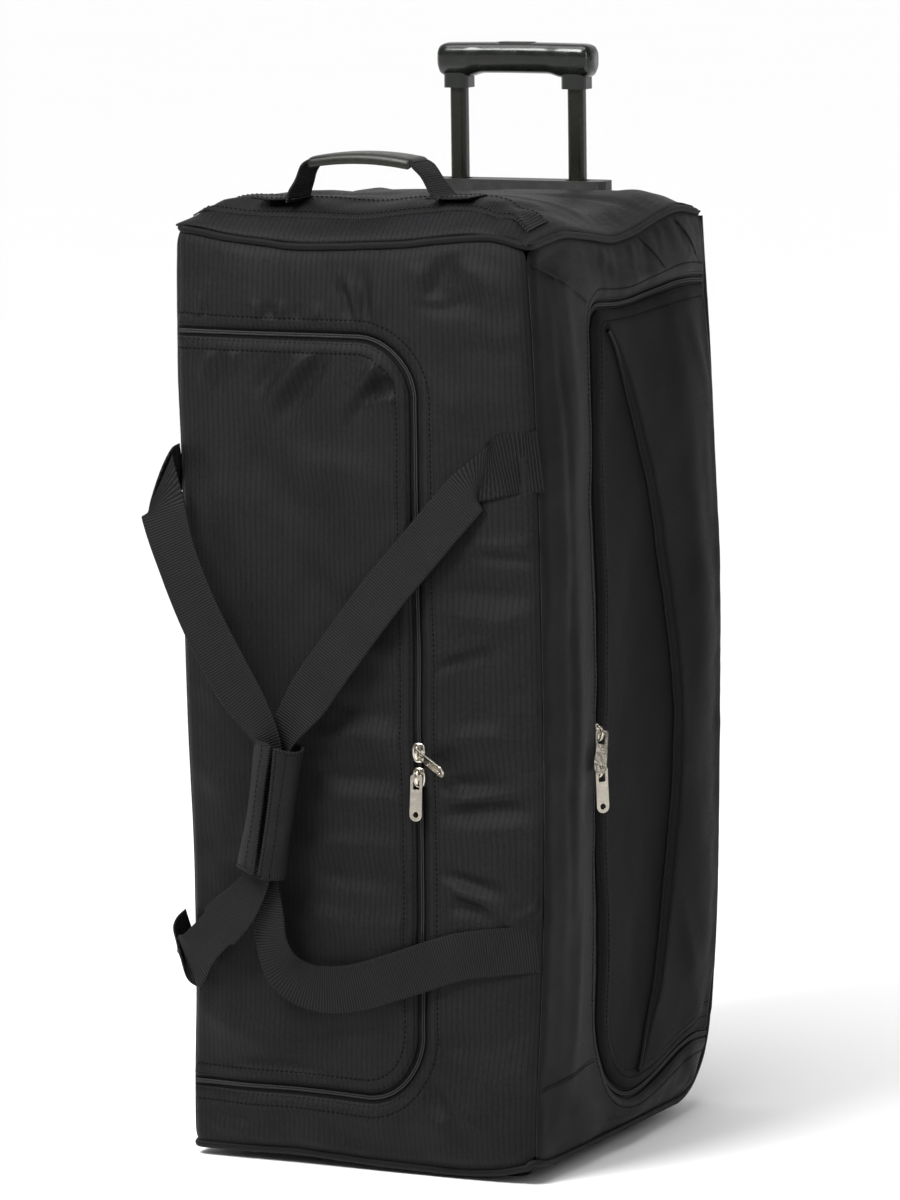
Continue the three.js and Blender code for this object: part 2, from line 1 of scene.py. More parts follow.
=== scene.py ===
"""Looks of the rolling duffel bag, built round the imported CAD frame. Sizes inside are millimetres in the bag's own
coordinates: x across the front, y from front to back, z up. put() turns them into metres in the row frame."""

import math

import bmesh
import bpy
import numpy as np
from mathutils import Matrix, Vector


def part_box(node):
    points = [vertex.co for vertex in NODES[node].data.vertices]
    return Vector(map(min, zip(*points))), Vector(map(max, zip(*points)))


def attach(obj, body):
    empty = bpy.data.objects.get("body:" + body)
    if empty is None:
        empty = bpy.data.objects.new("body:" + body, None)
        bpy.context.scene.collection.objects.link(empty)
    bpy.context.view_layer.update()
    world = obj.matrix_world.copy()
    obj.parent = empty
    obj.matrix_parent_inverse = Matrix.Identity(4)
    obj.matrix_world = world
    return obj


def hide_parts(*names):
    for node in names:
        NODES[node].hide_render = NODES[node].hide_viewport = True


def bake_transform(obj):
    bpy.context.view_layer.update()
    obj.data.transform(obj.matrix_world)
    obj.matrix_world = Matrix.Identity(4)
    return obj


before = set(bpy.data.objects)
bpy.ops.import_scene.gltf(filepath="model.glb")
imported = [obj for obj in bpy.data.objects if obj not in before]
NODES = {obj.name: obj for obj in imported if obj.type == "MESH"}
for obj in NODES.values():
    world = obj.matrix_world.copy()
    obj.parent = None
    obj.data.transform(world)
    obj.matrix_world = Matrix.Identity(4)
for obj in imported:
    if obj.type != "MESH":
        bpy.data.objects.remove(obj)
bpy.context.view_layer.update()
scene = bpy.context.scene

_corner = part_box("front_panel")[0]
OX = _corner.x * 1000 + 157.0
OY = _corner.y * 1000 + 172.0

# ------------------------------------------------------------------ driving sizes
HW, HD = 157.0, 172.0
ZB, ZT = 14.2, 754.0
RC = 12.0
PIPE = 3.2


# ------------------------------------------------------------------ camera
AZ, EL, ROLL = math.radians(25.8), math.radians(7.9), math.radians(0.77)
back = Vector((math.sin(AZ) * math.cos(EL), -math.cos(AZ) * math.cos(EL), math.sin(EL)))
right = Vector((math.cos(AZ), math.sin(AZ), 0))
up = back.cross(right)
target = right * 0.002 + Vector((OX / 1000, OY / 1000, 0.443))
cam_data = bpy.data.cameras.new("camera")
cam_data.sensor_width = 36
cam_data.lens = 192.6
cam_data.clip_end = 200
cam = bpy.data.objects.new("camera", cam_data)
scene.collection.objects.link(cam)
cr = right * math.cos(ROLL) - up * math.sin(ROLL)
cu = right * math.sin(ROLL) + up * math.cos(ROLL)
place = target + back * 5.28
cam.matrix_world = Matrix((
    (cr.x, cu.x, back.x, place.x), (cr.y, cu.y, back.y, place.y), (cr.z, cu.z, back.z, place.z), (0, 0, 0, 1)))
scene.camera = cam


# ------------------------------------------------------------------ small maths
def sm(a, b, t):
    t = np.clip((np.asarray(t, float) - a) / (b - a), 0, 1)
    return t * t * (3 - 2 * t)


def profile(stops, blur):
    """A smooth curve through (position, value) stops."""
    a = np.array(stops, float)
    xs = np.arange(a[0, 0] - 60, a[-1, 0] + 60, 1.0)
    ys = np.interp(xs, a[:, 0], a[:, 1])
    k = np.arange(-int(3 * blur), int(3 * blur) + 1)
    w = np.exp(-((k / blur) ** 2) / 2)
    w /= w.sum()
    ys = np.convolve(np.pad(ys, len(k) // 2, mode="edge"), w, mode="valid")
    return lambda t: np.interp(t, xs, ys)


def cubic(g, u, v):
    """Catmull-Rom sample of grid g at fractional indices."""
    n, m = g.shape
    u, v = np.clip(u, 0, n - 1.001), np.clip(v, 0, m - 1.001)
    i, j = np.floor(u).astype(int), np.floor(v).astype(int)
    a, b = u - i, v - j

    def weights(t):
        return (
            -0.5 * t + t * t - 0.5 * t**3,
            1 - 2.5 * t * t + 1.5 * t**3,
            0.5 * t + 2 * t * t - 1.5 * t**3,
            -0.5 * t * t + 0.5 * t**3,
        )

    wa, wb = weights(a), weights(b)
    out = 0
    for p in range(4):
        ii = np.clip(i + p - 1, 0, n - 1)
        for q in range(4):
            jj = np.clip(j + q - 1, 0, m - 1)
            out = out + g[ii, jj] * wa[p] * wb[q]
    return out


def lumps(seed, u, v, cell_u, cell_v):
    """Seeded smooth random height, about -1 to 1."""
    r = np.random.RandomState(seed)
    g = r.uniform(-1, 1, (64, 64))
    return cubic(np.tile(g, (2, 2)), 3 + np.mod(u / cell_u + 500, 60), 3 + np.mod(v / cell_v + 500, 60))


def creases(rows, u, v):
    """Ridges and valleys along short lines: (u0, v0, u1, v1, half width, height)."""
    total = np.zeros(np.broadcast(u, v).shape)
    for k, (u0, v0, u1, v1, w, a) in enumerate(rows):
        du, dv = u1 - u0, v1 - v0
        length = math.hypot(du, dv)
        t = ((u - u0) * du + (v - v0) * dv) / length**2
        n = (-(u - u0) * dv + (v - v0) * du) / length
        n = n + (0.35 if k % 2 else -0.35) * w * np.sin(np.pi * np.clip(t, 0, 1))
        fade = sm(-0.22, 0.3, t) * (1 - sm(0.62, 1.25, t))
        wide = w * (0.8 + 0.45 * np.clip(t, 0, 1))
        total = total + a * fade * np.exp(-((n / wide) ** 2))
    return total


# ------------------------------------------------------------------ how far the soft body departs from its frame
near_bulge = profile([(14, 0), (60, 0.5), (140, 6.2), (236, 10.6), (292, 11.4), (405, 11.4), (560, 9.4), (675, 5.6), (754, 0)], 22)
far_bulge = profile([(14, 0), (60, 1.5), (93, 3.5), (132, 7), (202, 9.6), (257, 10.6), (333, 11.8), (430, 13.2), (502, 11.5), (571, 8.6), (640, 6.5), (754, 0)], 22)
left_bulge = profile([(14, 0), (60, 0), (150, -3.2), (250, -3.2), (330, -0.5), (430, 2), (560, 1), (640, 3), (700, 1), (754, 0)], 18)
front_low = profile([(-157, -5), (-108, -5), (-60, -3.5), (14, -7.2), (87, -8.6), (122, -6), (148, 1), (157, 4)], 9)
front_high = profile([(-157, 6.5), (-108, -2), (-43, -8), (48, -3.5), (94, 2.5), (130, 4.5), (148, -2), (157, -4)], 11)
side_low = profile([(-172, 4), (-160, 1.5), (-120, 0), (172, 0)], 8)
side_high = profile([(-172, -4), (-142, -1.5), (-98, 2.2), (-61, -3.2), (-9, -10.5), (19, -9.5), (61, -2.6), (100, 4.6), (128, 5.6), (166, -0.5), (172, -3)], 10)
left_low = profile([(-172, -5), (-120, -1), (172, 0)], 14)
left_high = profile([(-172, 6.5), (-100, 0), (-20, -7), (60, -3), (110, 3), (172, -2)], 16)
back_high = profile([(-157, -2), (-90, 1), (0, -2), (90, 1), (157, -3)], 20)


sag = profile([(-172, 0), (-90, -1), (-40, -13), (0, -20), (40, -16), (90, -4), (130, 4), (172, 9)], 10)


def z_floor(y):
    """Lowest line of the side faces: level, then round the back-bottom corner."""
    y = np.asarray(y, float)
    return np.where(y < 102, ZB, 81 - np.sqrt(np.maximum(66.8**2 - np.clip(y - 102, 0, 66.8) ** 2, 0)))


class Zip:
    """U-shaped zip line in a face's (u, v), open towards edge."""

    def __init__(self, edge, line, top, low, r_top, r_low):
        self.s = 1 if line > edge else -1
        self.edge, self.line, self.top, self.low, self.rt, self.rl = edge * self.s, line * self.s, top, low, r_top, r_low

    def dist(self, u, v):
        u = np.asarray(u, float) * self.s
        d = np.maximum(np.maximum(u - self.line, v - self.top), self.low - v)
        cu_, ct = self.line - self.rt, self.top - self.rt
        k = (u > cu_) & (v > ct)
        d = np.where(k, np.hypot(u - cu_, v - ct) - self.rt, d)
        cu_, cl = self.line - self.rl, self.low + self.rl
        k = (u > cu_) & (v < cl)
        return np.where(k, np.hypot(u - cu_, v - cl) - self.rl, d)

    def samples(self, step, n_leg=None):
        pts, nor, part = [], [], []
        ct, cl = self.line - self.rt, self.line - self.rl
        n = max(4, round((ct - self.edge) / step))
        for k in range(n):
            pts.append((self.edge + (ct - self.edge) * k / n, self.top)); nor.append((0, 1)); part.append(0)
        m = max(8, round(self.rt * 1.9 / step))
        for k in range(m):
            a = math.pi / 2 * (1 - k / m)
            pts.append((ct + self.rt * math.cos(a), self.top - self.rt + self.rt * math.sin(a))); nor.append((math.cos(a), math.sin(a))); part.append(1)
        z1, z0 = self.top - self.rt, self.low + self.rl
        q = round((z1 - z0) / step)
        for k in range(q + 1):
            pts.append((self.line, z1 + (z0 - z1) * k / q)); nor.append((1, 0)); part.append(2)
        m2 = max(8, round(self.rl * 1.9 / step))
        for k in range(1, m2 + 1):
            a = -math.pi / 2 * k / m2
            pts.append((cl + self.rl * math.cos(a), self.low + self.rl + self.rl * math.sin(a))); nor.append((math.cos(a), math.sin(a))); part.append(3)
        n2 = max(4, round((cl - self.edge) / step))
        for k in range(1, n2 + 1):
            pts.append((cl + (self.edge - cl) * k / n2, self.low)); nor.append((0, -1)); part.append(4)
        pts, nor = np.array(pts, float), np.array(nor, float)
        pts[:, 0] *= self.s
        nor[:, 0] *= self.s
        return pts, nor, np.array(part)

    def at(self, d, step=1.0):
        """Points d outside the line, about step apart."""
        pts, nor, _ = self.samples(step)
        return pts + nor * d


FLAP = Zip(-157, 57, 677, 65, 50, 50)
POCKET = Zip(160, -70, 698, 62, 24, 62)


def arc_y(z):
    """Where the side pocket's curved piping runs."""
    t = np.clip((676 - np.asarray(z, float)) / 596, 0, 1)
    return -46 + 50 * t + 86 * np.sin(np.pi * t) ** 0.8


# ------------------------------------------------------------------ cloth settled between its seams
def settle(sheets, frames=22, step=8.0):
    """Runs one cloth simulation on flat panels held along their seams, cut slightly larger than their frames. Returns the
    settled height of each panel over its own plane as a grid."""
    verts, faces, pins, spans = [], [], [], {}
    shift = 0.0
    for name, (u0, u1, v0, v1, hold) in sheets.items():
        nu, nv = round((u1 - u0) / step) + 1, round((v1 - v0) / step) + 1
        base = len(verts)
        uu, vv = np.linspace(u0, u1, nu), np.linspace(v0, v1, nv)
        g = hold(uu[:, None], vv[None, :]) if hold else np.zeros((nu, nv))
        tiny = lumps(len(name), uu[:, None], vv[None, :], 30, 30) * 0.4
        for i in range(nu):
            for j in range(nv):
                edge = i in (0, nu - 1) or j in (0, nv - 1)
                verts.append(((uu[i] + shift) / 1000, -0.0 if edge else -tiny[i, j] / 1000, vv[j] / 1000))
                pins.append(1.0 if edge else float(g[i, j]))
                if i and j:
                    a = base + i * nv + j
                    faces.append((a - nv - 1, a - nv, a, a - 1))
        spans[name] = (base, nu, nv)
        shift += 600
    me = bpy.data.meshes.new("settling")
    me.from_pydata(verts, [], faces)
    ob = bpy.data.objects.new("settling", me)
    scene.collection.objects.link(ob)
    group = ob.vertex_groups.new(name="pin")
    for w in sorted(set(pins)):
        if w > 0:
            group.add([k for k, p in enumerate(pins) if p == w], w, "REPLACE")
    mod = ob.modifiers.new("cloth", "CLOTH")
    st = mod.settings
    st.quality = 5
    st.mass = 0.25
    st.tension_stiffness = st.compression_stiffness = 12
    st.shear_stiffness = 4
    st.bending_stiffness = 0.35
    st.tension_damping = st.compression_damping = st.shear_damping = 6
    st.bending_damping = 0.5
    st.air_damping = 3
    st.vertex_group_mass = "pin"
    st.pin_stiffness = 1.0
    st.shrink_min = -0.012
    mod.collision_settings.use_collision = False
    mod.collision_settings.use_self_collision = False
    gravity = scene.gravity.copy()
    scene.gravity = (0, -4.5, -7.5)
    mod.point_cache.frame_start, mod.point_cache.frame_end = 1, frames
    for k in range(1, frames + 1):
        scene.frame_set(k)
    ev = ob.evaluated_get(bpy.context.evaluated_depsgraph_get())
    co = np.zeros(len(verts) * 3)
    ev.data.vertices.foreach_get("co", co)
    co = co.reshape(-1, 3)
    out = {}
    for name, (base, nu, nv) in spans.items():
        out[name] = -co[base : base + nu * nv, 1].reshape(nu, nv) * 1000
    scene.frame_set(1)
    scene.gravity = gravity
    bpy.data.objects.remove(ob)
    bpy.data.meshes.remove(me)
    return out


SPAN = {
    "front": (-157.0, 157.0, 14.0, 754.0),
    "side": (-172.0, 172.0, 14.0, 754.0),
    "left": (-172.0, 172.0, 14.0, 754.0),
    "back": (-157.0, 157.0, 14.0, 754.0),
    "top": (-157.0, 157.0, -172.0, 172.0),
}


def along_zip(zip_line, strength):
    return lambda u, v: np.round(strength * np.exp(-((zip_line.dist(u, v) / 9) ** 2)), 2)


settled = {}
settled = settle({
    "front": SPAN["front"] + (along_zip(FLAP, 0.04),),
    "side": SPAN["side"] + (along_zip(POCKET, 0.04),),
    "left": SPAN["left"] + (None,),
    "back": SPAN["back"] + (None,),
    "top": SPAN["top"] + (None,),
})

FRONT_CREASES = [
    (74, 415, 122, 433, 5, -2.6), (76, 425, 125, 445, 6, 1.6), (78, 355, 135, 361, 9, 2.6), (78, 323, 125, 330, 8, -2.8),
    (77, 297, 143, 308, 7, -2.8), (77, 310, 145, 318, 6, 2.2), (77, 280, 153, 288, 8, 1.8), (76, 250, 133, 238, 6, -2.6),
    (79, 241, 131, 214, 5, 2.8), (131, 214, 166, 237, 5, 2.6), (82, 224, 126, 219, 7, -3), (146, 381, 168, 384, 4, 1.6),
    (144, 338, 167, 337, 4, -1.5), (144, 273, 167, 276, 4, 1.6), (64, 79, 98, 37, 7, -2.4), (71, 85, 106, 51, 7, 1.6),
    (98, 75, 160, 92, 8, 1.6), (72, 109, 151, 128, 9, -1.6), (57, 48, 142, 56, 10, 1.5), (95, 741, 71, 704, 7, -3.2),
    (81, 701, 117, 706, 6, -3), (97, 738, 142, 710, 6, 3.4), (65, 706, 82, 699, 2.6, -1.6), (63, 711, 86, 705, 4, 1.8),
    (59, 737, 68, 714, 6, 2.2), (115, 679, 159, 682, 7, 1.4), (106, 668, 160, 671, 6, -1.2), (71, 629, 149, 635, 16, 1),
    (104, 506, 161, 504, 5, -1.8), (104, 515, 162, 515, 6, 1.4), (86, 478, 156, 473, 9, -1.4), (81, 458, 147, 457, 8, 1.4),
    (-8, 724, 5, 692, 4, -2.4), (2, 728, 12, 692, 4, 2), (14, 733, 18, 690, 3.5, -2.2), (24, 732, 29, 689, 4, 1.5),
    (-133, 705, -133, 688, 3, 1.5), (-126, 702, -125, 688, 2.6, -1.4), (-81, 705, -80, 689, 3, 1.8),
    (-57, 706, -57, 690, 2.8, 1.6), (-69, 704, -68, 689, 3, -1.6), (-43, 703, -43, 689, 2.8, -1.3),
    (-27, 705, -29, 689, 3, 1.4), (-32, 662, -73, 616, 6, 3), (-17, 664, -58, 614, 6, -2.6), (-53, 663, -79, 631, 6, -1.6),
    (31, 662, -6, 615, 6, 3.2), (41, 645, 2, 618, 7, -3.4), (12, 624, 49, 628, 2.8, 1.8), (-120, 661, -129, 638, 4, 1.6),
    (-109, 661, -115, 626, 4, -1.6), (-98, 663, -102, 647, 4, 1.4), (-46, 575, 36, 553, 14, 1.6),
    (-90, 591, -20, 529, 18, -1.4), (-131, 581, -84, 429, 22, 1.6), (-47, 496, 24, 451, 16, -1.5),
    (-21, 432, 45, 420, 10, 1.5), (-18, 384, 45, 375, 8, -1.6), (-32, 355, 47, 351, 8, 1.8), (-34, 326, 48, 327, 8, -1.8),
    (-33, 302, 50, 305, 8, 1.6), (-35, 245, 43, 243, 9, -2.2), (-40, 265, 46, 266, 8, 1.6), (-52, 211, 55, 202, 10, 1.8),
    (-54, 104, 45, 120, 10, -1.6), (-141, 312, -86, 331, 12, 1.4), (-146, 254, -97, 265, 12, -1.6),
    (-141, 122, -54, 99, 12, 1.6), (-119, 82, -27, 81, 6, -1.6), (-138, 43, -28, 44, 10, -1.6), (-119, 52, 35, 54, 6, 1.4),
    (-28, 34, 53, 30, 8, -1.4),
]
SIDE_CREASES = [
    (-120, 705, -113, 530, 11, 2.4), (-113, 530, -115, 223, 12, 2.6), (-139, 683, -132, 532, 5, -2), (-132, 532, -134, 162, 5, -2),
    (-115, 223, -125, 70, 8, 2.6), (-165, 738, -43, 706, 6, 2.4), (-147, 745, -4, 726, 8, -3), (-50, 745, 76, 708, 9, 2.2),
    (-19, 737, 56, 714, 6, -2.4), (-40, 36, 20, 33, 8, 2), (100, 686, 155, 581, 12, 1.6), (114, 577, 164, 412, 14, -1.4),
    (83, 589, 129, 299, 16, 1.6), (75, 190, 124, 88, 10, 1.8), (53, 144, 145, 93, 8, -1.6), (-168, 72, -75, 61, 8, -1.6),
    (-168, 52, -70, 46, 7, 1.5),
]


def build_field(name):
    u0, u1, v0, v1 = SPAN[name]
    us, vs = np.arange(u0, u1 + 2, 2.0), np.arange(v0, v1 + 2, 2.0)
    u, v = us[:, None], vs[None, :]
    seed = {"front": 3, "side": 11, "left": 21, "back": 31, "top": 41}[name]
    h = 1.6 * lumps(seed, u, v, 44, 60) + 0.6 * lumps(seed + 1, u, v, 21, 27) + 0.14 * lumps(seed + 2, u, v, 9, 8)
    if name in settled:
        g = settled[name]
        n, m = g.shape
        s = cubic(g, (u - u0) / (u1 - u0) * (n - 1) + 0 * v, (v - v0) / (v1 - v0) * (m - 1) + 0 * u)
        flat = {"front": FLAP, "side": POCKET}.get(name)
        if flat is not None:
            s = s * (1 - 0.94 * np.exp(-((flat.dist(u + 0 * v, v + 0 * u) / 15) ** 2)))
        if name == "front":
            s = s * (0.12 + 0.88 * sm(0, 55, u + 157)) * (0.35 + 0.65 * sm(0, 40, 157 - u))
        elif name in ("side", "left"):
            s = s * (0.1 + 0.9 * sm(0, 60, 172 - u)) * (0.1 + 0.9 * sm(0, 45, u + 172))
        cap = {"front": 6.0, "side": 7.0, "left": 11.0, "back": 5.0, "top": 6.0}[name]
        h = h + cap * np.tanh(s / cap)
    else:
        h = h + 3 * np.sin(np.pi * (u - u0) / (u1 - u0)) * np.sin(np.pi * (v - v0) / (v1 - v0))
    if name == "front":
        d = FLAP.dist(u + 0 * v, v + 0 * u)
        h = h + 2.3 * creases(FRONT_CREASES, u, v) * (0.12 + 0.88 * sm(11, 18, np.abs(d)))
        # the flap's own fabric is eased along the zip
        h = h + 0.7 * np.sin(v / 5.1 + 2.2 * lumps(77, u, v, 40, 30)) * np.exp(-(((np.abs(d) - 17) / 5) ** 2)) * (0.5 + 0.5 * lumps(78, u, v, 30, 40))
    if name == "side":
        d = POCKET.dist(u + 0 * v, v + 0 * u)
        h = h + creases(SIDE_CREASES, u, v) * (0.1 + 0.9 * sm(11, 18, np.abs(d)))
        a = u - arc_y(v)
        ends = sm(72, 150, v) * (1 - sm(610, 690, v))
        inside = sm(0, 8, -d - 12)
        slope = np.clip((-d - 14) / np.maximum(-d - 14 + np.maximum(-a, 0), 1), 0, 1)
        crescent = 2.6 * slope * (a < 0) + 2.6 * (a >= 0)
        panel = (2.0 + 4.6 * ends) * sm(0, 5, a) * (1 - sm(95, 158, u))
        h = h + inside * (crescent * ends + panel)
    if name == "left":
        h = h + 7 * np.sin(np.pi * (u - u0) / (u1 - u0)) * np.sin(np.pi * np.clip((v - v0) / (v1 - v0), 0, 1)) ** 0.8
        h = h + 2.0 * lumps(90, u + 0.3 * v, v, 60, 120)
    if name == "back":
        h = h + 0.8 * lumps(95, u, v, 60, 90)
    if name == "top":
        r = creases([(-150, -165, -95, -120, 8, 3), (150, -165, 95, -118, 8, 3.4), (120, -160, 150, -60, 10, -4), (146, 60, 60, 40, 12, -2.6),
                     (-146, 60, -70, 30, 12, -2.4), (150, 160, 110, 110, 9, 2.4), (-150, 160, -110, 110, 9, 2.4),
                     (-60, -160, 40, -154, 8, -2), (60, -95, 140, -20, 14, 3), (-120, -90, 20, -80, 10, -2)], u, v)
        h = h + r + 2.4 * lumps(97, u, v, 70, 60)
    return h


FIELD = {name: build_field(name) for name in SPAN}


def field(name, u, v):
    u0, _, v0, _ = SPAN[name]
    return cubic(FIELD[name], (u - u0) / 2.0, (v - v0) / 2.0)


# ------------------------------------------------------------------ the five soft faces as surfaces
def front(x, z, h=0.0, soft=1.0):
    x, z, h = np.broadcast_arrays(np.asarray(x, float), np.asarray(z, float), np.asarray(h, float))
    ax = np.abs(x)
    edge = HW - ax
    phi = np.clip((ax - (HW - RC)) / RC, 0, 1) * math.pi / 4
    sx = np.sign(x)
    px = np.where(ax > HW - RC, sx * (HW - RC + RC * np.sin(phi)), x)
    py = -HD + RC * (1 - np.cos(phi))
    w = sm(-1, 10, edge) * sm(0, 12, ZT - z) * sm(0, 12, z - ZB)
    hh = h + soft * field("front", x, z) * w - 0.6 * np.exp(-((edge / 1.2) ** 2))
    hh = hh - 3.0 * np.exp(-(((ZT - z) / 4.5) ** 2)) - 3.0 * np.exp(-(((z - ZB) / 4.5) ** 2))
    px = px + sx * np.sin(phi) * hh + near_bulge(z) * sm(30, 157, x) ** 1.2 - left_bulge(z) * sm(40, 157, -x)
    py = py - np.cos(phi) * hh - 1.5 * near_bulge(z) / 11 * sm(60, 150, x)
    pz = z + front_low(x) * sm(120, ZB, z) + front_high(x) * sm(672, ZT, z)
    return np.stack([px, py, pz], -1)


def side(y, z, h=0.0, soft=1.0):
    y, z, h = np.broadcast_arrays(np.asarray(y, float), np.asarray(z, float), np.asarray(h, float))
    ef, eb = y + HD, HD - y
    phi = np.clip(1 - ef / RC, 0, 1) * math.pi / 4
    py = np.where(ef < RC, -(HD - RC + RC * np.sin(phi)), y)
    px = HW - RC * (1 - np.cos(phi))
    low = z_floor(y)
    drop = np.where(y < 102, z - low, 66.8 - np.hypot(np.maximum(y - 102, 0), np.minimum(z - 81, 0)) + 0.0)
    drop = np.where((y >= 102) & (z > 81), 60, drop)
    w = sm(-1, 10, ef) * sm(0, 10, eb) * sm(0, 12, ZT - z) * sm(0, 12, drop)
    hh = h + soft * field("side", y, z) * w - 0.6 * np.exp(-((ef / 1.2) ** 2)) - 3.0 * np.exp(-((eb / 4.5) ** 2))
    hh = hh - 3.0 * np.exp(-(((ZT - z) / 4.5) ** 2)) - 3.0 * np.exp(-((drop / 4.5) ** 2))
    roll = 1 - 0.58 * sm(-140, -84, y) - 0.42 * sm(-84, 20, y)
    px = px + np.cos(phi) * hh + near_bulge(z) * roll + far_bulge(z) * sm(10, 165, y)
    py = py - np.sin(phi) * hh - 1.5 * near_bulge(z) / 11 * sm(-140, -172, y) + 3.0 * far_bulge(z) / 13 * sm(110, 172, y)
    pz = z + side_low(y) * sm(120, ZB, z) + side_high(y) * sm(640, ZT, z)
    pz = pz + sag(y) * sm(1, 45, drop) * (1 - sm(70, 270, z))
    return np.stack([px, py, pz], -1)


def left(y, z, h=0.0, soft=1.0):
    y, z, h = np.broadcast_arrays(np.asarray(y, float), np.asarray(z, float), np.asarray(h, float))
    ef, eb = y + HD, HD - y
    phi = np.clip(1 - ef / RC, 0, 1) * math.pi / 4
    py = np.where(ef < RC, -(HD - RC + RC * np.sin(phi)), y)
    px = HW - RC * (1 - np.cos(phi))
    low = z_floor(y)
    drop = np.where(y < 102, z - low, 66.8 - np.hypot(np.maximum(y - 102, 0), np.minimum(z - 81, 0)))
    drop = np.where((y >= 102) & (z > 81), 60, drop)
    w = sm(-1, 14, ef) * sm(0, 12, eb) * sm(0, 12, ZT - z) * sm(0, 12, drop)
    hh = h + soft * field("left", y, z) * w - 0.6 * np.exp(-((ef / 1.2) ** 2)) - 3.0 * np.exp(-((eb / 4.5) ** 2))
    hh = hh - 3.0 * np.exp(-(((ZT - z) / 4.5) ** 2)) - 3.0 * np.exp(-((drop / 4.5) ** 2))
    t = sm(-172, 150, y)
    px = px + np.cos(phi) * hh + left_bulge(z) * (1 - t) + 0.5 * far_bulge(z) * t
    py = py - np.sin(phi) * hh + 3.0 * far_bulge(z) / 13 * sm(110, 172, y)
    pz = z + left_low(y) * sm(120, ZB, z) + left_high(y) * sm(640, ZT, z)
    return np.stack([-px, py, pz], -1)


def back_face(x, z, h=0.0, soft=1.0):
    x, z, h = np.broadcast_arrays(np.asarray(x, float), np.asarray(z, float), np.asarray(h, float))
    e = HW - np.abs(x)
    w = sm(0, 12, e) * sm(0, 12, ZT - z) * sm(0, 14, z - 81)
    rails = np.exp(-(((np.abs(x) - 96) / 14) ** 4)) * sm(85, 100, z) * (1 - sm(640, 655, z))
    hh = h + soft * np.clip(field("back", x, z) * w, -3, 4.0) * (1 - rails) - 3.0 * np.exp(-((e / 4.5) ** 2)) - 3.0 * np.exp(-(((ZT - z) / 4.5) ** 2))
    bx = np.where(x > 0, far_bulge(z), 0.5 * far_bulge(z)) * sm(60, 157, np.abs(x)) * np.sign(x)
    pz = z + back_high(x) * sm(640, ZT, z)
    by = 3.0 * far_bulge(z) / 13 * sm(115, 157, np.abs(x))
    return np.stack([x + bx, HD - 1 + hh + by, pz], -1)


def crown(x, y):
    u, v = np.minimum(np.abs(x) / HW, 1), np.minimum(np.abs(y) / HD, 1)
    return 20 * np.sqrt((1 - u**4) * (1 - v**6)) * (1 - 0.4 * sm(-90, 50, y))


def rim(x, y):
    """Height added where the top meets its piping, spread inwards."""
    wf, wb = sm(60, 172, -y), sm(60, 172, y)
    wr, wl = sm(60, 157, x), sm(60, 157, -x)
    values = (front_high(x), back_high(x), side_high(y), left_high(y))
    weights = (wf, wb, wr, wl)
    total = sum(w**6 for w in weights) + 1e-6
    return sum(w**6 * v for w, v in zip(weights, values)) / total * np.maximum(np.maximum(wf, wb), np.maximum(wr, wl))


def top(x, y, h=0.0, soft=1.0):
    x, y, h = np.broadcast_arrays(np.asarray(x, float), np.asarray(y, float), np.asarray(h, float))
    e = np.minimum(HW - np.abs(x), HD - np.abs(y))
    slot = np.maximum(np.abs(x) - 82, np.abs(y - 148) - 13)
    w = sm(0, 26, e) * (0.25 + 0.75 * sm(2, 40, slot))
    hh = h + soft * np.clip(field("top", x, y), -7, 7) * w
    pz = 754 + 2.4 + 2.5 * sm(0, 40, e) * sm(40, -90, y) + crown(x, y) + rim(x, y) + hh
    seat = sm(22, 1, slot)
    pz = pz * (1 - seat) + 768.4 * seat
    return np.stack([x * (1 - 0.009), y * (1 - 0.009), pz], -1)


# ------------------------------------------------------------------ materials
def new_material(name, color, rough, metal=0.0, spec=0.5):
    m = bpy.data.materials.new(name)
    m.use_nodes = True
    b = m.node_tree.nodes["Principled BSDF"]
    b.inputs["Base Color"].default_value = (*color, 1)
    b.inputs["Roughness"].default_value = rough
    b.inputs["Metallic"].default_value = metal
    b.inputs["Specular IOR Level"].default_value = spec
    return m, m.node_tree, b


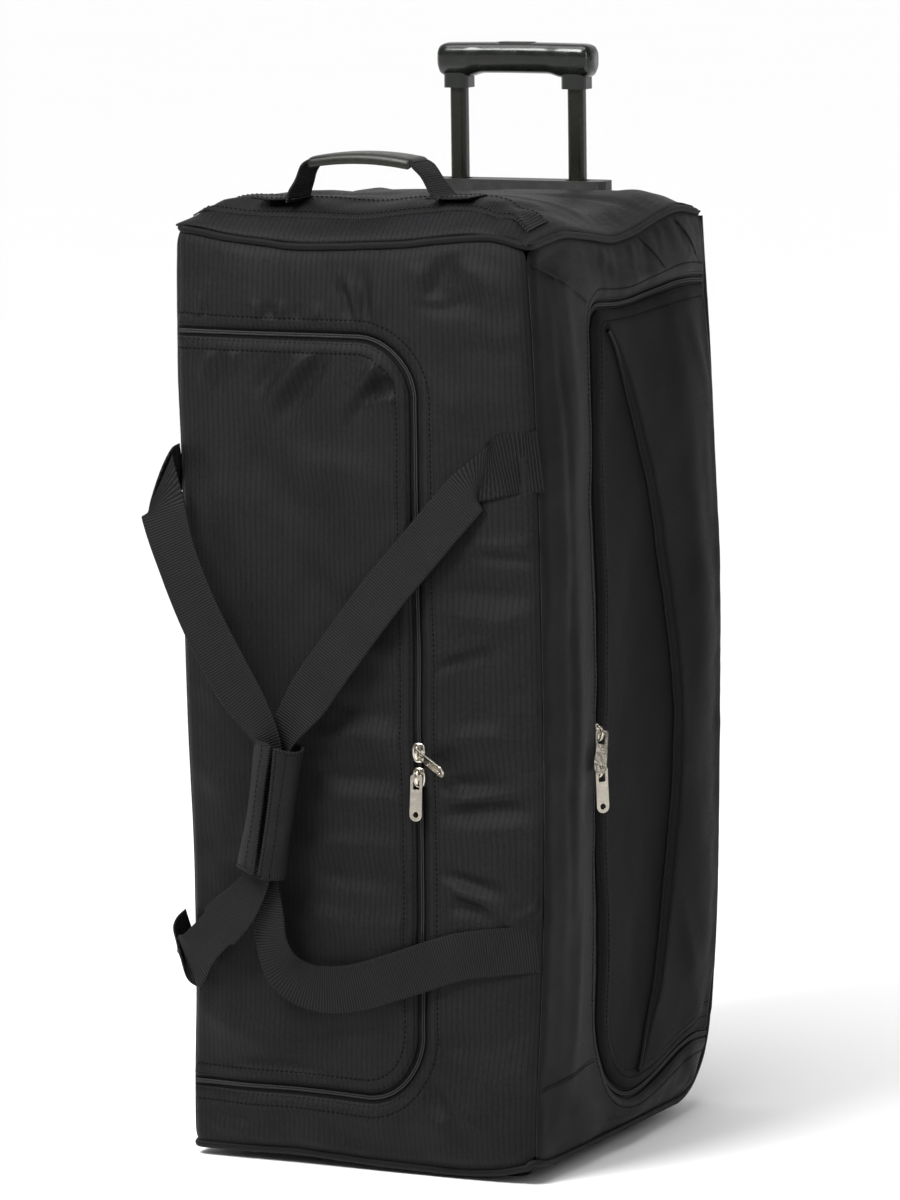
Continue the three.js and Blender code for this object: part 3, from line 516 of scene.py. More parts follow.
class Nodes:
    def __init__(self, tree):
        self.t = tree

    def new(self, kind, **kw):
        n = self.t.nodes.new(kind)
        for k, v in kw.items():
            setattr(n, k, v)
        return n

    def link(self, a, b):
        self.t.links.new(a, b)

    def math(self, op, a, b=None, c=None):
        n = self.new("ShaderNodeMath", operation=op)
        for k, v in enumerate((a, b, c)):
            if v is None:
                continue
            if isinstance(v, (int, float)):
                n.inputs[k].default_value = v
            else:
                self.link(v, n.inputs[k])
        return n.outputs[0]

    def uv(self):
        n = self.new("ShaderNodeUVMap", uv_map="weave")
        s = self.new("ShaderNodeSeparateXYZ")
        self.link(n.outputs[0], s.inputs[0])
        return n.outputs[0], s.outputs[0], s.outputs[1]

    def noise(self, vec, scale, detail=2.0, rough=0.5):
        n = self.new("ShaderNodeTexNoise")
        n.inputs["Scale"].default_value = scale
        n.inputs["Detail"].default_value = detail
        n.inputs["Roughness"].default_value = rough
        if vec is not None:
            self.link(vec, n.inputs["Vector"])
        return n.outputs["Fac"]

    def mix(self, fac, a, b):
        n = self.new("ShaderNodeMix", data_type="RGBA")
        if isinstance(fac, (int, float)):
            n.inputs[0].default_value = fac
        else:
            self.link(fac, n.inputs[0])
        for k, v in ((6, a), (7, b)):
            if isinstance(v, tuple):
                n.inputs[k].default_value = (*v, 1)
            else:
                self.link(v, n.inputs[k])
        return n.outputs[2]

    def ramp(self, fac, a, b):
        n = self.new("ShaderNodeMapRange")
        n.inputs["From Min"].default_value, n.inputs["From Max"].default_value = a
        n.inputs["To Min"].default_value, n.inputs["To Max"].default_value = b
        self.link(fac, n.inputs["Value"])
        return n.outputs[0]

    def bump(self, height, strength, distance, bsdf, under=None):
        n = self.new("ShaderNodeBump")
        n.inputs["Strength"].default_value = strength
        n.inputs["Distance"].default_value = distance
        self.link(height, n.inputs["Height"])
        if under is not None:
            self.link(under, n.inputs["Normal"])
        self.link(n.outputs[0], bsdf.inputs["Normal"])
        return n.outputs[0]


TAU = 2 * math.pi


def fabric(name, color, rib=4.6, dash=2.8, rib_depth=0.6, weave=0.62, rough=0.46, spec=0.08, sheen=0.0, dark=0.5, blotch=0.3):
    """Woven cloth. The UV map holds millimetres over ten."""
    m, t, b = new_material(name, color, rough, 0, spec)
    n = Nodes(t)
    vec, u, v = n.uv()
    u, v = n.math("MULTIPLY", u, 10.0), n.math("MULTIPLY", v, 10.0)
    # plain weave
    wu = n.math("SINE", n.math("MULTIPLY", u, TAU / (2 * weave)))
    wv = n.math("SINE", n.math("MULTIPLY", v, TAU / (2 * weave)))
    cloth = n.math("MULTIPLY", wu, wv)
    # heavier threads: dashed ribs along v
    fu = n.math("ABSOLUTE", n.math("SUBTRACT", n.math("FRACT", n.math("DIVIDE", u, rib)), 0.5))
    line = n.ramp(fu, (0.31, 0.43), (0.0, 1.0))
    col_n = n.math("FLOOR", n.math("DIVIDE", u, rib))
    off = n.math("MULTIPLY", n.math("FRACT", n.math("MULTIPLY", col_n, 0.37)), dash)
    fv = n.math("ABSOLUTE", n.math("SUBTRACT", n.math("FRACT", n.math("DIVIDE", n.math("ADD", v, off), dash)), 0.5))
    dashes = n.ramp(fv, (0.14, 0.34), (1.0, 0.3))
    rip = n.math("MULTIPLY", line, dashes)
    # uneven thread and wear, then painted shade and highlight from the weave
    big = n.noise(vec, 0.16, 4.0, 0.6)
    fine = n.noise(vec, 3.4, 3.0, 0.7)
    shade = n.math("ADD", n.math("MULTIPLY", n.math("SUBTRACT", big, 0.5), blotch * 3), n.math("MULTIPLY", n.math("SUBTRACT", fine, 0.5), 1.5))
    tone = n.math("ADD", 1.0, shade)
    tone = n.math("MULTIPLY", tone, n.math("SUBTRACT", 1.0, n.math("MULTIPLY", rip, 1 - dark)))
    # raised weave cells a little lighter, sunk cells a little darker: painted highlight and painted shade at thread
    # scale
    tone = n.math("MAXIMUM", n.math("MULTIPLY", tone, n.ramp(cloth, (-1, 1), (0.88, 1.12))), 0.15)
    base = n.mix(tone, (0, 0, 0), tuple(2.0 * c for c in color))
    half = n.math("MULTIPLY", tone, 0.5)
    t.links.remove(base.node.inputs[0].links[0])
    n.link(half, base.node.inputs[0])
    n.link(base, b.inputs["Base Color"])
    n.link(n.ramp(fine, (0.3, 0.7), (rough - 0.07, rough + 0.09)), b.inputs["Roughness"])
    height = n.math("ADD", n.math("MULTIPLY", cloth, 0.32), n.math("MULTIPLY", rip, -rib_depth))
    height = n.math("ADD", height, n.math("MULTIPLY", fine, 0.9))
    n.bump(height, 0.8, 0.0003, b)
    b.inputs["Sheen Weight"].default_value = sheen
    b.inputs["Sheen Roughness"].default_value = 0.4
    b.inputs["Sheen Tint"].default_value = (0.8, 0.82, 0.9, 1)
    return m


def webbing_material(name, color, pitch=1.3, rough=0.5, depth=1.0, spec=0.08, sheen=0.0):
    """Narrow woven strap: ribs across it, chevrons between, u across and v along."""
    m, t, b = new_material(name, color, rough, 0, spec)
    n = Nodes(t)
    vec, u, v = n.uv()
    u, v = n.math("MULTIPLY", u, 10.0), n.math("MULTIPLY", v, 10.0)
    ribs = n.math("SINE", n.math("MULTIPLY", v, TAU / pitch))
    weft = n.math("SINE", n.math("MULTIPLY", u, TAU / 1.9))
    slant = n.math("SINE", n.math("ADD", n.math("MULTIPLY", v, TAU / (2 * pitch)), n.math("MULTIPLY", n.math("ABSOLUTE", u), TAU / 2.6)))
    fine = n.noise(vec, 4.5, 3.0, 0.7)
    big = n.noise(vec, 0.25, 3.0, 0.6)
    height = n.math("ADD", n.math("MULTIPLY", ribs, 0.55), n.math("MULTIPLY", n.math("MULTIPLY", weft, slant), 0.3))
    height = n.math("ADD", height, n.math("MULTIPLY", fine, 0.6))
    # the colour follows the ribs, lighter on their crests and darker in the grooves between: painted highlight and
    # painted shade; the noise added to it is uneven thread
    tone = n.math("ADD", n.ramp(ribs, (-1, 1), (0.4, 1.4)), n.math("MULTIPLY", n.math("SUBTRACT", big, 0.5), 0.45))
    tone = n.math("ADD", tone, n.math("MULTIPLY", n.math("SUBTRACT", fine, 0.5), 0.5))
    base = n.mix(n.math("MULTIPLY", tone, 0.5), (0, 0, 0), tuple(2.0 * c for c in color))
    n.link(base, b.inputs["Base Color"])
    n.link(n.ramp(fine, (0.3, 0.7), (rough - 0.08, rough + 0.1)), b.inputs["Roughness"])
    n.bump(height, 0.9 * depth, 0.0004, b)
    b.inputs["Sheen Weight"].default_value = sheen
    b.inputs["Sheen Roughness"].default_value = 0.4
    return m


def hard(name, color, rough, metal=0.0, spec=0.5, grain=60.0, depth=0.15, coat=0.0, vary=0.12, wear=None):
    """Moulded, rolled or plated surface with fine grain. It reads the piece's own coordinates."""
    m, t, b = new_material(name, color, rough, metal, spec)
    n = Nodes(t)
    vec = n.new("ShaderNodeTexCoord").outputs["Object"]
    fine = n.noise(vec, grain * 12, 2.0, 0.6)
    big = n.noise(vec, grain, 4.0, 0.65)
    tone = n.ramp(big, (0.3, 0.7), (0.5 - vary / 2, 0.5 + vary / 2))
    base = n.mix(tone, (0, 0, 0), tuple(min(1.0, 2.0 * c) for c in color))
    if max(color) > 0.5:
        base = n.mix(n.ramp(big, (0.3, 0.7), (0, 1)), tuple(c * (1 - vary) for c in color), color)
    if wear is not None:
        geo = n.new("ShaderNodeNewGeometry")
        edge = n.ramp(geo.outputs["Pointiness"], (0.52, 0.6), (0.0, 0.6))
        base = n.mix(n.math("MULTIPLY", edge, big), base, wear)
    n.link(base, b.inputs["Base Color"])
    n.link(n.ramp(big, (0.3, 0.7), (max(0.04, rough - 0.06), rough + 0.08)), b.inputs["Roughness"])
    n.bump(n.math("ADD", fine, n.math("MULTIPLY", big, 0.5)), depth, 0.0003, b)
    b.inputs["Coat Weight"].default_value = coat
    return m


K = 0.0084
M = {
    "panel": fabric("ripstop_panel", (K * 1.02, K * 1.0, K * 1.06), rib=4.6, dash=2.8),
    "side": fabric("smooth_side", (K * 0.76, K * 0.75, K * 0.8), rib=3.1, dash=1.7, rib_depth=0.3, dark=0.8, weave=0.5),
    "pocket": fabric("pocket_cloth", (K * 0.62, K * 0.62, K * 0.68), rib=2.6, dash=1.5, rib_depth=0.2, dark=0.88, weave=0.5, blotch=0.12, rough=0.66),
    # the top's ripstop is the front's cloth made darker: painted shade on the top
    "top": fabric("ripstop_top_painted_shade", (K * 0.8, K * 0.8, K * 0.88), rib=4.6, dash=2.8),
    "back": fabric("back_cloth", (K * 0.9, K * 0.9, K * 0.92), rib=4.6, dash=2.8),
    "base": fabric("base_cloth", (K * 1.25, K * 1.25, K * 1.1), rib=2.2, dash=2.2, rough=0.55, weave=0.8),
    "lining": fabric("lining_cloth", (0.03, 0.031, 0.034), rib=6.0, dash=6.0, rib_depth=0.15, dark=0.9, weave=0.35, rough=0.5),
    "tape": fabric("zip_binding", (K * 0.92, K * 0.9, K * 0.98), rib=1.4, dash=1.4, rib_depth=0.25, dark=0.85, weave=0.45, rough=0.58, blotch=0.08),
    "ziptape": webbing_material("zip_tape_weave", (K * 0.7, K * 0.7, K * 0.75), pitch=0.9),
    "webbing": webbing_material("strap_webbing", (K * 1.15, K * 1.13, K * 1.18), pitch=2.1),
    "gather": webbing_material("gathered_webbing", (K * 1.1, K * 1.1, K * 1.15), pitch=2.6, depth=2.2),
    "piping": webbing_material("piping_cloth", (K * 0.6, K * 0.6, K * 0.58), pitch=0.8, rough=0.5, spec=0.12, depth=0.5),
    "thread": webbing_material("stitch_thread", (K * 0.4, K * 0.4, K * 0.42), pitch=0.5, rough=0.5),
    "wrap": fabric("wrap_cloth", (K * 1.25, K * 1.22, K * 1.3), rib=2.0, dash=1.2, rib_depth=0.3, dark=0.8, weave=0.5),
    "coil": hard("zip_coil", (0.005, 0.005, 0.0052), 0.42, 0.0, 0.3, grain=400, depth=0.1),
    "nickel": hard("nickel_plate", (0.66, 0.61, 0.52), 0.2, 1.0, grain=260, depth=0.12, vary=0.3),
    "tube": hard("dark_anodised_tube", (0.016, 0.0165, 0.0125), 0.24, 0.6, 0.6, grain=90, depth=0.05, vary=0.25),
    "grip": hard("grip_gloss", (0.0065, 0.008, 0.0062), 0.22, 0.0, 0.35, grain=120, depth=0.12, coat=0.25, vary=0.3),
    "grab": hard("grab_sleeve_plastic", (0.008, 0.0078, 0.0056), 0.36, 0.0, 0.28, grain=160, depth=0.2, vary=0.3),
    "base_plastic": hard("base_plastic", (0.014, 0.014, 0.0135), 0.45, 0.0, 0.45, grain=150, depth=0.4, vary=0.3, wear=(0.05, 0.05, 0.05)),
    "hub": hard("hub_plastic", (0.03, 0.03, 0.031), 0.38, 0.0, 0.5, grain=150, depth=0.25, vary=0.3, wear=(0.08, 0.08, 0.08)),
    "tyre": hard("tyre_rubber", (0.012, 0.012, 0.012), 0.7, 0.0, 0.3, grain=200, depth=0.6, vary=0.5),
    "foot": hard("foot_rubber", (0.013, 0.013, 0.013), 0.75, 0.0, 0.3, grain=200, depth=0.6, vary=0.5),
    "steel": hard("axle_steel", (0.62, 0.62, 0.62), 0.28, 1.0, grain=250, depth=0.08, vary=0.2),
}


# ------------------------------------------------------------------ mesh helpers
def put(name, co, faces, uv, materials, slots=None, smooth=True, weld=0.0):
    """A mesh object from bag millimetres. uv holds millimetres for each vertex."""
    co = np.asarray(co, float).reshape(-1, 3)
    uv = np.asarray(uv, float).reshape(-1, 2) / 10
    me = bpy.data.meshes.new(name)
    me.from_pydata(((co + (OX, OY, 0)) / 1000).tolist(), [], [tuple(map(int, f)) for f in faces])
    layer = me.uv_layers.new(name="weave")
    loops = np.zeros(len(me.loops), dtype=np.int64)
    me.loops.foreach_get("vertex_index", loops)
    layer.data.foreach_set("uv", uv[loops].ravel())
    for m in materials:
        me.materials.append(m)
    if slots is not None:
        me.polygons.foreach_set("material_index", np.asarray(slots, np.int32))
    me.polygons.foreach_set("use_smooth", np.full(len(me.polygons), smooth))
    if weld:
        bm = bmesh.new()
        bm.from_mesh(me)
        bmesh.ops.remove_doubles(bm, verts=bm.verts, dist=weld / 1000)
        bm.to_mesh(me)
        bm.free()
    me.update()
    ob = bpy.data.objects.new(name, me)
    scene.collection.objects.link(ob)
    return ob


def quads(n, m, base=0, close_n=False, close_m=False, flip=False):
    i = np.arange(n if close_n else n - 1)
    j = np.arange(m if close_m else m - 1)
    a, b = np.meshgrid(i, j, indexing="ij")
    a, b = a.ravel(), b.ravel()
    a1, b1 = (a + 1) % n, (b + 1) % m
    f = np.stack([a * m + b, a1 * m + b, a1 * m + b1, a * m + b1], -1) + base
    return f[:, ::-1] if flip else f


def facing(co, faces, out):
    """Flips faces so that they look the way out says, on average."""
    co = np.asarray(co).reshape(-1, 3)
    f = np.asarray(faces)
    nrm = np.cross(co[f[:, 2]] - co[f[:, 0]], co[f[:, 3]] - co[f[:, 1]]).sum(0)
    return f[:, ::-1] if np.dot(nrm, out) < 0 else f


class Build:
    """Collects grids into one mesh."""

    def __init__(self):
        self.co, self.uv, self.f, self.s, self.n = [], [], [], [], 0

    def grid(self, P, UV, out=None, slot=0, **kw):
        n, m = P.shape[:2]
        f = quads(n, m, **kw)
        if out is not None:
            f = facing(P.reshape(-1, 3), f, out)
        self.f.append(f + self.n)
        self.s += [slot] * len(f)
        self.co.append(P.reshape(-1, 3))
        self.uv.append(UV.reshape(-1, 2))
        self.n += n * m

    def done(self, name, materials, weld=0.0, smooth=True):
        return put(name, np.concatenate(self.co), np.concatenate(self.f), np.concatenate(self.uv), materials, self.s, smooth, weld)


def thick(ob, t, lining=1, offset=-1.0, rim=None):
    m = ob.modifiers.new("thickness", "SOLIDIFY")
    m.thickness = t / 1000
    m.offset = offset
    m.material_offset = lining
    m.material_offset_rim = lining if rim is None else rim
    m.use_quality_normals = True
    return m


def finer(ob, level=1):
    m = ob.modifiers.new("finer", "SUBSURF")
    m.levels = m.render_levels = level
    return m


def tube(path, r, sides=10, closed=False, squash=1.0, normal=None, twist=0.0):
    """Tube grid round a path, with its UV. r may be one number or one for each point."""
    p = np.asarray(path, float)
    n = len(p)
    if closed:
        t = np.roll(p, -1, 0) - np.roll(p, 1, 0)
    else:
        t = np.gradient(p, axis=0)
    t /= np.linalg.norm(t, axis=1)[:, None]
    if normal is None:
        up_ = np.tile((0.0, 0.0, 1.0), (n, 1))
        flat = np.abs(t[:, 2]) > 0.9
        up_[flat] = (0.0, 1.0, 0.0) if not closed else (1.0, 0.0, 0.0)
        # carry one reference along the path so that the tube does not twist
        ref = up_[0] - t[0] * np.dot(up_[0], t[0])
        ref /= np.linalg.norm(ref)
        a = np.zeros((n, 3))
        for k in range(n):
            ref = ref - t[k] * np.dot(ref, t[k])
            ref /= np.linalg.norm(ref)
            a[k] = ref
    else:
        a = np.asarray(normal, float) - t * np.sum(np.asarray(normal) * t, 1)[:, None]
        a /= np.linalg.norm(a, axis=1)[:, None]
    b = np.cross(t, a)
    ang = np.arange(sides) / sides * TAU
    rr = np.broadcast_to(np.asarray(r, float), (n,))[:, None, None]
    P = p[:, None] + rr * (np.cos(ang)[None, :, None] * a[:, None] * squash + np.sin(ang)[None, :, None] * b[:, None])
    s = np.concatenate([[0], np.cumsum(np.linalg.norm(np.diff(p, axis=0), axis=1))])
    UV = np.stack(np.broadcast_arrays((ang * np.mean(rr))[None, :], s[:, None]), -1)
    return P, UV


def resample(path, step, closed=False):
    p = np.asarray(path, float)
    if closed:
        p = np.concatenate([p, p[:1]])
    s = np.concatenate([[0], np.cumsum(np.linalg.norm(np.diff(p, axis=0), axis=1))])
    n = max(2, int(round(s[-1] / step)) + 1)
    q = np.linspace(0, s[-1], n)
    out = np.stack([np.interp(q, s, p[:, k]) for k in range(p.shape[1])], -1)
    return out[:-1] if closed else out


def spline(stops, step):
    """Catmull-Rom through the stops, then evenly spaced."""
    p = np.asarray(stops, float)
    e = np.concatenate([[2 * p[0] - p[1]], p, [2 * p[-1] - p[-2]]])
    out = []
    for k in range(len(p) - 1):
        a, b, c, d = e[k : k + 4]
        t = np.linspace(0, 1, 24, endpoint=False)[:, None]
        out.append(0.5 * (2 * b + (c - a) * t + (2 * a - 5 * b + 4 * c - d) * t**2 + (3 * b - a - 3 * c + d) * t**3))
    out.append(p[-1:])
    return resample(np.concatenate(out), step)


def stitches(name, path, normal, body, pitch=4.2, length=2.9, r=0.42, lift=0.15):
    """A row of thread stitches lying on a path. normal gives the way up for each point."""
    p = np.asarray(path, float)
    nr = np.asarray(normal, float)
    s = np.concatenate([[0], np.cumsum(np.linalg.norm(np.diff(p, axis=0), axis=1))])
    B = Build()
    k = pitch / 2
    ring = np.arange(6) / 6 * TAU
    while k + length / 2 < s[-1]:
        q = np.linspace(k - length / 2, k + length / 2, 5)
        c = np.stack([np.interp(q, s, p[:, i]) for i in range(3)], -1)
        u = np.stack([np.interp(q, s, nr[:, i]) for i in range(3)], -1)
        u /= np.linalg.norm(u, axis=1)[:, None]
        t = np.gradient(c, axis=0)
        t /= np.linalg.norm(t, axis=1)[:, None] + 1e-9
        w = np.cross(t, u)
        dip = np.array([-0.75, 0.1, 0.35, 0.1, -0.75]) * r + lift
        rad = np.array([0.45, 0.95, 1.0, 0.95, 0.45]) * r
        P = c[:, None] + u[:, None] * dip[:, None, None] + rad[:, None, None] * (
            np.cos(ring)[None, :, None] * u[:, None] * 0.8 + np.sin(ring)[None, :, None] * w[:, None])
        B.grid(P, np.zeros(P.shape[:2] + (2,)) + np.stack(np.broadcast_arrays(ring[None, :], q[:, None]), -1), close_m=True)
        k += pitch
    ob = B.done(name, [M["thread"]])
    if body:
        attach(ob, body)
    return ob


def normals_of(surface, u, v, out):
    e = 0.8
    a = surface(u + e, v) - surface(u - e, v)
    b = surface(u, v + e) - surface(u, v - e)
    n = np.cross(a, b)
    n /= np.linalg.norm(n, axis=-1)[..., None]
    return n * np.sign(np.sum(n * out, -1))[..., None]


# ------------------------------------------------------------------ zipped faces
# Rise of the bound fabric edge beside the coil: distance from the coil line, height.
EDGE = [(5.2, -1.9), (4.3, -1.5), (3.8, -0.4), (4.0, 0.7), (4.9, 1.25), (7.0, 1.35), (9.5, 1.3), (12.0, 1.05), (13.4, 0.45), (14.2, 0.3), (15.0, 0.55), (17.5, 0.35), (20.5, 0.1)]


def zipped(zip_line, surface, out, names, body_out, body_in, far, high, low, mats):
    pts, nor, part = zip_line.samples(4.0)
    ed = np.array(EDGE)
    n_rows = 20
    # outer face: from the bound edge out to the seams
    d = ed[:, 0]
    band = pts[:, None] + nor[:, None] * d[None, :, None]
    start = pts + nor * d[-1]
    end = np.zeros_like(start)
    s = zip_line.s
    for k in range(len(pts)):
        u, v = pts[k]
        if part[k] == 0:
            end[k] = (u, high)
        elif part[k] == 4:
            end[k] = (u, low(u))
        elif part[k] == 2:
            end[k] = (far, v)
        else:
            r = zip_line.rt if part[k] == 1 else zip_line.rl
            c = pts[k] - nor[k] * r
            du, dv = nor[k]
            ts = []
            if abs(du) > 1e-6:
                ts.append((far - c[0]) / du)
            if dv > 1e-6:
                ts.append((high - c[1]) / dv)
            if dv < -1e-6:
                ts.append((low(c[0]) - c[1]) / dv)
            ts = [q for q in ts if q > 0]
            end[k] = c + nor[k] * min(ts)
    # keep both far corners sharp
    for corner_v, p_ in ((high, 1), (float(low(far)), 3)):
        idx = [k for k in range(len(pts)) if part[k] == p_]
        best = min(idx, key=lambda k: math.hypot(end[k][0] - far, end[k][1] - corner_v))
        end[best] = (far, corner_v)
    q = np.linspace(0, 1, n_rows + 1)[1:]
    rest = start[:, None] + (end - start)[:, None] * q[None, :, None]
    uvs = np.concatenate([band, rest], 1)
    h = np.concatenate([ed[:, 1], np.zeros(n_rows)])
    P = surface(uvs[..., 0], uvs[..., 1], h[None, :])
    B = Build()
    B.grid(P, uvs, out)
    extra = names.get("extra")
    if extra:
        extra(B)
    outer = B.done(names["outer"], [mats[0], M["lining"]], weld=0.02)
    thick(outer, 1.3)
    finer(outer)
    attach(outer, body_out)
    # inner face: the bound edge, then columns from leg to leg
    B = Build()
    d = -ed[:, 0]
    band = pts[:, None] + nor[:, None] * d[None, :, None]
    P = surface(band[..., 0], band[..., 1], ed[None, :, 1])
    B.grid(P, band, out)
    inner = pts + nor * d[-1]
    up_idx = [k for k in range(len(pts)) if part[k] in (0, 1)]
    leg = [k for k in range(len(pts)) if part[k] == 2]
    dn_idx = [k for k in range(len(pts)) if part[k] in (3, 4)]
    # the upper and lower legs hold different counts, so lower points are found along the line
    top_pts = np.array([inner[k] for k in up_idx] + [inner[leg[0]]])
    low_pts = np.array([inner[leg[-1]]] + [inner[k] for k in dn_idx])[::-1]
    if len(low_pts) != len(top_pts):
        s1 = np.linspace(0, 1, len(low_pts))
        s2 = np.linspace(0, 1, len(top_pts))
        low_pts = np.stack([np.interp(s2, s1, low_pts[:, 0]), np.interp(s2, s1, low_pts[:, 1])], -1)
    m = len(leg)
    q = np.linspace(0, 1, m)
    cols = top_pts[:, None] + (low_pts - top_pts)[:, None] * q[None, :, None]
    P = surface(cols[..., 0], cols[..., 1], EDGE[-1][1])
    B.grid(P, cols, out)
    panel = B.done(names["inner"], [mats[1], M["lining"]], weld=0.02)
    thick(panel, 1.3)
    finer(panel)
    made = {"outer": outer, "inner": panel}
    # the two halves of the zip tape and coil
    for key, sgn in (("out", 1), ("in", -1)):
        dd = np.array([0.5, 2.0, 4.0, 6.0, 9.0]) * sgn
        band = pts[:, None] + nor[:, None] * dd[None, :, None]
        P = surface(band[..., 0], band[..., 1], -0.75)
        uvw = np.stack(np.broadcast_arrays(dd[None, :], (np.arange(len(pts)) * 4.0)[:, None]), -1)
        B = Build()
        B.grid(P, uvw, out)
        tape = B.done(names["tape_" + key], [M["ziptape"]])
        thick(tape, 0.5, 0)
        made["tape_" + key] = tape
        line = zip_line.at(0.85 * sgn, 0.5)
        line = resample(line, 0.48)
        C = surface(line[:, 0], line[:, 1], 0.1)
        N = normals_of(surface, line[:, 0], line[:, 1], out)
        k = np.arange(len(C))
        wave = 0.86 + 0.3 * np.array([1.0, 0.45, -0.6, 0.1])[k % 4]
        P, UV = tube(C, wave, 7, normal=N, squash=0.8)
        B = Build()
        B.grid(P, UV, close_m=True)
        coil = B.done(names["coil_" + key], [M["coil"]])
        made["coil_" + key] = coil
        st = resample(zip_line.at(13.8 * sgn, 2.0), 2.0)
        C = surface(st[:, 0], st[:, 1], 0.5)
        N = normals_of(surface, st[:, 0], st[:, 1], out)
        made["stitch_" + key] = stitches(names["stitch_" + key], C, N, None)
        st = resample(zip_line.at(6.2 * sgn, 2.0), 2.0)
        C = surface(st[:, 0], st[:, 1], 1.25)
        N = normals_of(surface, st[:, 0], st[:, 1], out)
        made["edge_stitch_" + key] = stitches(names["edge_" + key], C, N, None, r=0.3, lift=0.0)
    return made


front_made = zipped(
    FLAP, front, np.array((0, -1.0, 0)),
    dict(outer="front_cloth", inner="flap_cloth", tape_out="front_tape_bag", tape_in="front_tape_flap", coil_out="front_coil_bag",
         coil_in="front_coil_flap", stitch_out="front_stitch_bag", stitch_in="front_stitch_flap", edge_out="front_edge_stitch_bag",
         edge_in="front_edge_stitch_flap"),
    "bag", "front_flap", HW, ZT, lambda u: ZB, (M["panel"], M["panel"]))
for key in ("tape_out", "coil_out", "stitch_out", "edge_stitch_out"):
    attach(front_made[key], "bag")
for key in ("inner", "tape_in", "coil_in", "stitch_in", "edge_stitch_in"):
    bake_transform(front_made[key])


def side_extra(B):
    """The strip between the pocket's hinge and the back edge, down round the corner."""
    ys = np.array([160.0, 162.5, 165, 167, 169, 170.6, 172])
    ys = ys[ys <= 168.8]
    ys = np.append(ys, 168.7)
    zz = np.linspace(0, 1, 170)
    yy = ys[:, None] + 0 * zz[None, :]
    low = z_floor(ys)[:, None]
    vv = low + (ZT - low) * zz[None, :]
    B.grid(side(yy, vv), np.stack([yy, vv], -1), np.array((1.0, 0, 0)))


side_made = zipped(
    POCKET, side, np.array((1.0, 0, 0)),
    dict(outer="side_cloth", inner="pocket_cloth", tape_out="pocket_tape_bag", tape_in="pocket_tape_flap", coil_out="pocket_coil_bag",
         coil_in="pocket_coil_flap", stitch_out="pocket_stitch_bag", stitch_in="pocket_stitch_flap", edge_out="pocket_edge_stitch_bag",
         edge_in="pocket_edge_stitch_flap", extra=side_extra),
    "bag", "pocket_flap", -HD, ZT, lambda u: float(z_floor(u)), (M["side"], M["pocket"]))
for key in ("tape_out", "coil_out", "stitch_out", "edge_stitch_out"):
    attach(side_made[key], "bag")

# curved piping over the pocket
zz = np.linspace(676, 80, 220)
P, UV = tube(side(arc_y(zz), zz, 1.2), 1.9 + 0.12 * lumps(5, zz, 0 * zz, 6, 6), 10)
B = Build()
B.grid(P, UV, close_m=True)
arc = B.done("pocket_arc_cord", [M["piping"]])
# its stitched flange
yy = arc_y(zz)[:, None] + np.array([0.8, 2.5, 4.6])[None, :]
P = side(yy, zz[:, None] + 0 * yy, np.array([1.4, 0.9, 0.3])[None, :])
B = Build()
B.grid(P, np.stack([yy, zz[:, None] + 0 * yy], -1), np.array((1.0, 0, 0)))
flange = B.done("pocket_arc_flange", [M["tape"]])
ys = arc_y(zz) + 4.2
arc_stitch = stitches("pocket_arc_stitch", side(ys, zz, 0.35), normals_of(side, ys, zz, np.array((1.0, 0, 0))), None, r=0.34)
for ob in [side_made[k] for k in ("inner", "tape_in", "coil_in", "stitch_in", "edge_stitch_in")] + [arc, flange, arc_stitch]:
    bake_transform(ob)

# ------------------------------------------------------------------ plain faces
def plain(name, surface, us, vs, out, material, body, t=1.3, keep=None, lining=True):
    u, v = us[:, None] + 0 * vs[None, :], vs[None, :] + 0 * us[:, None]
    P = surface(u, v)
    B = Build()
    B.grid(P, np.stack([u, v], -1), out)
    if keep is not None:
        f = B.f[0]
        flat = np.stack([u, v], -1).reshape(-1, 2)
        c = flat[f].mean(1)
        ok = keep(c[:, 0], c[:, 1])
        B.f[0] = f[ok]
        B.s = [0] * int(ok.sum())
    ob = B.done(name, [material, M["lining"]])
    if t:
        thick(ob, t, 1 if lining else 0)
    finer(ob)
    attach(ob, body)
    return ob


# left side, drawn down to its own lower line
ys = np.concatenate([np.linspace(-172, -158, 7), np.linspace(-153, 99, 48), np.linspace(104, 168.7, 18)])
zz = np.linspace(0, 1, 130)
low = z_floor(ys)[:, None]
vv = low + (ZT - low) * zz[None, :]
yy = ys[:, None] + 0 * zz[None, :]
B = Build()
B.grid(left(yy, vv), np.stack([yy, vv], -1), np.array((-1.0, 0, 0)))
left_ob = B.done("left_cloth", [M["side"], M["lining"]])
thick(left_ob, 1.3)
finer(left_ob)
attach(left_ob, "bag")

back_ob = plain("back_cloth", back_face, np.linspace(-153.5, 153.5, 74), np.linspace(80.5, ZT - 1, 168), np.array((0, 1.0, 0)), M["back"], "bag")
for sgn in (-1, 1):
    # sewn channels beside each skid rail
    for k, dx in enumerate((-14.5, 14.5)):
        zz = np.linspace(90, 648, 280)
        xx = np.full_like(zz, sgn * 96 + dx)
        stitches(f"back_stitch_{'left' if sgn < 0 else 'right'}_{k}", back_face(xx, zz, 0.1), np.tile((0, 1.0, 0), (len(zz), 1)), "bag")

xs, ys = np.linspace(-152, 152, 74), np.linspace(-167, 167, 82)
xs = np.sort(np.concatenate([xs, [-82.4, 82.4], [-156.97, -156.7, -156, -154.8, 154.8, 156, 156.7, 156.97]]))
ys = np.sort(np.concatenate([ys, [134.6, 161.4], [-171.97, -171.7, -171, -169.6, 169.6, 171, 171.7, 171.97]]))
top_ob = plain("top_cloth", top, xs, ys, np.array((0, 0, 1.0)), M["top"], "bag", t=2.0,
               keep=lambda x, y: ~((np.abs(x) < 82) & (y > 134.8) & (y < 161.2)))

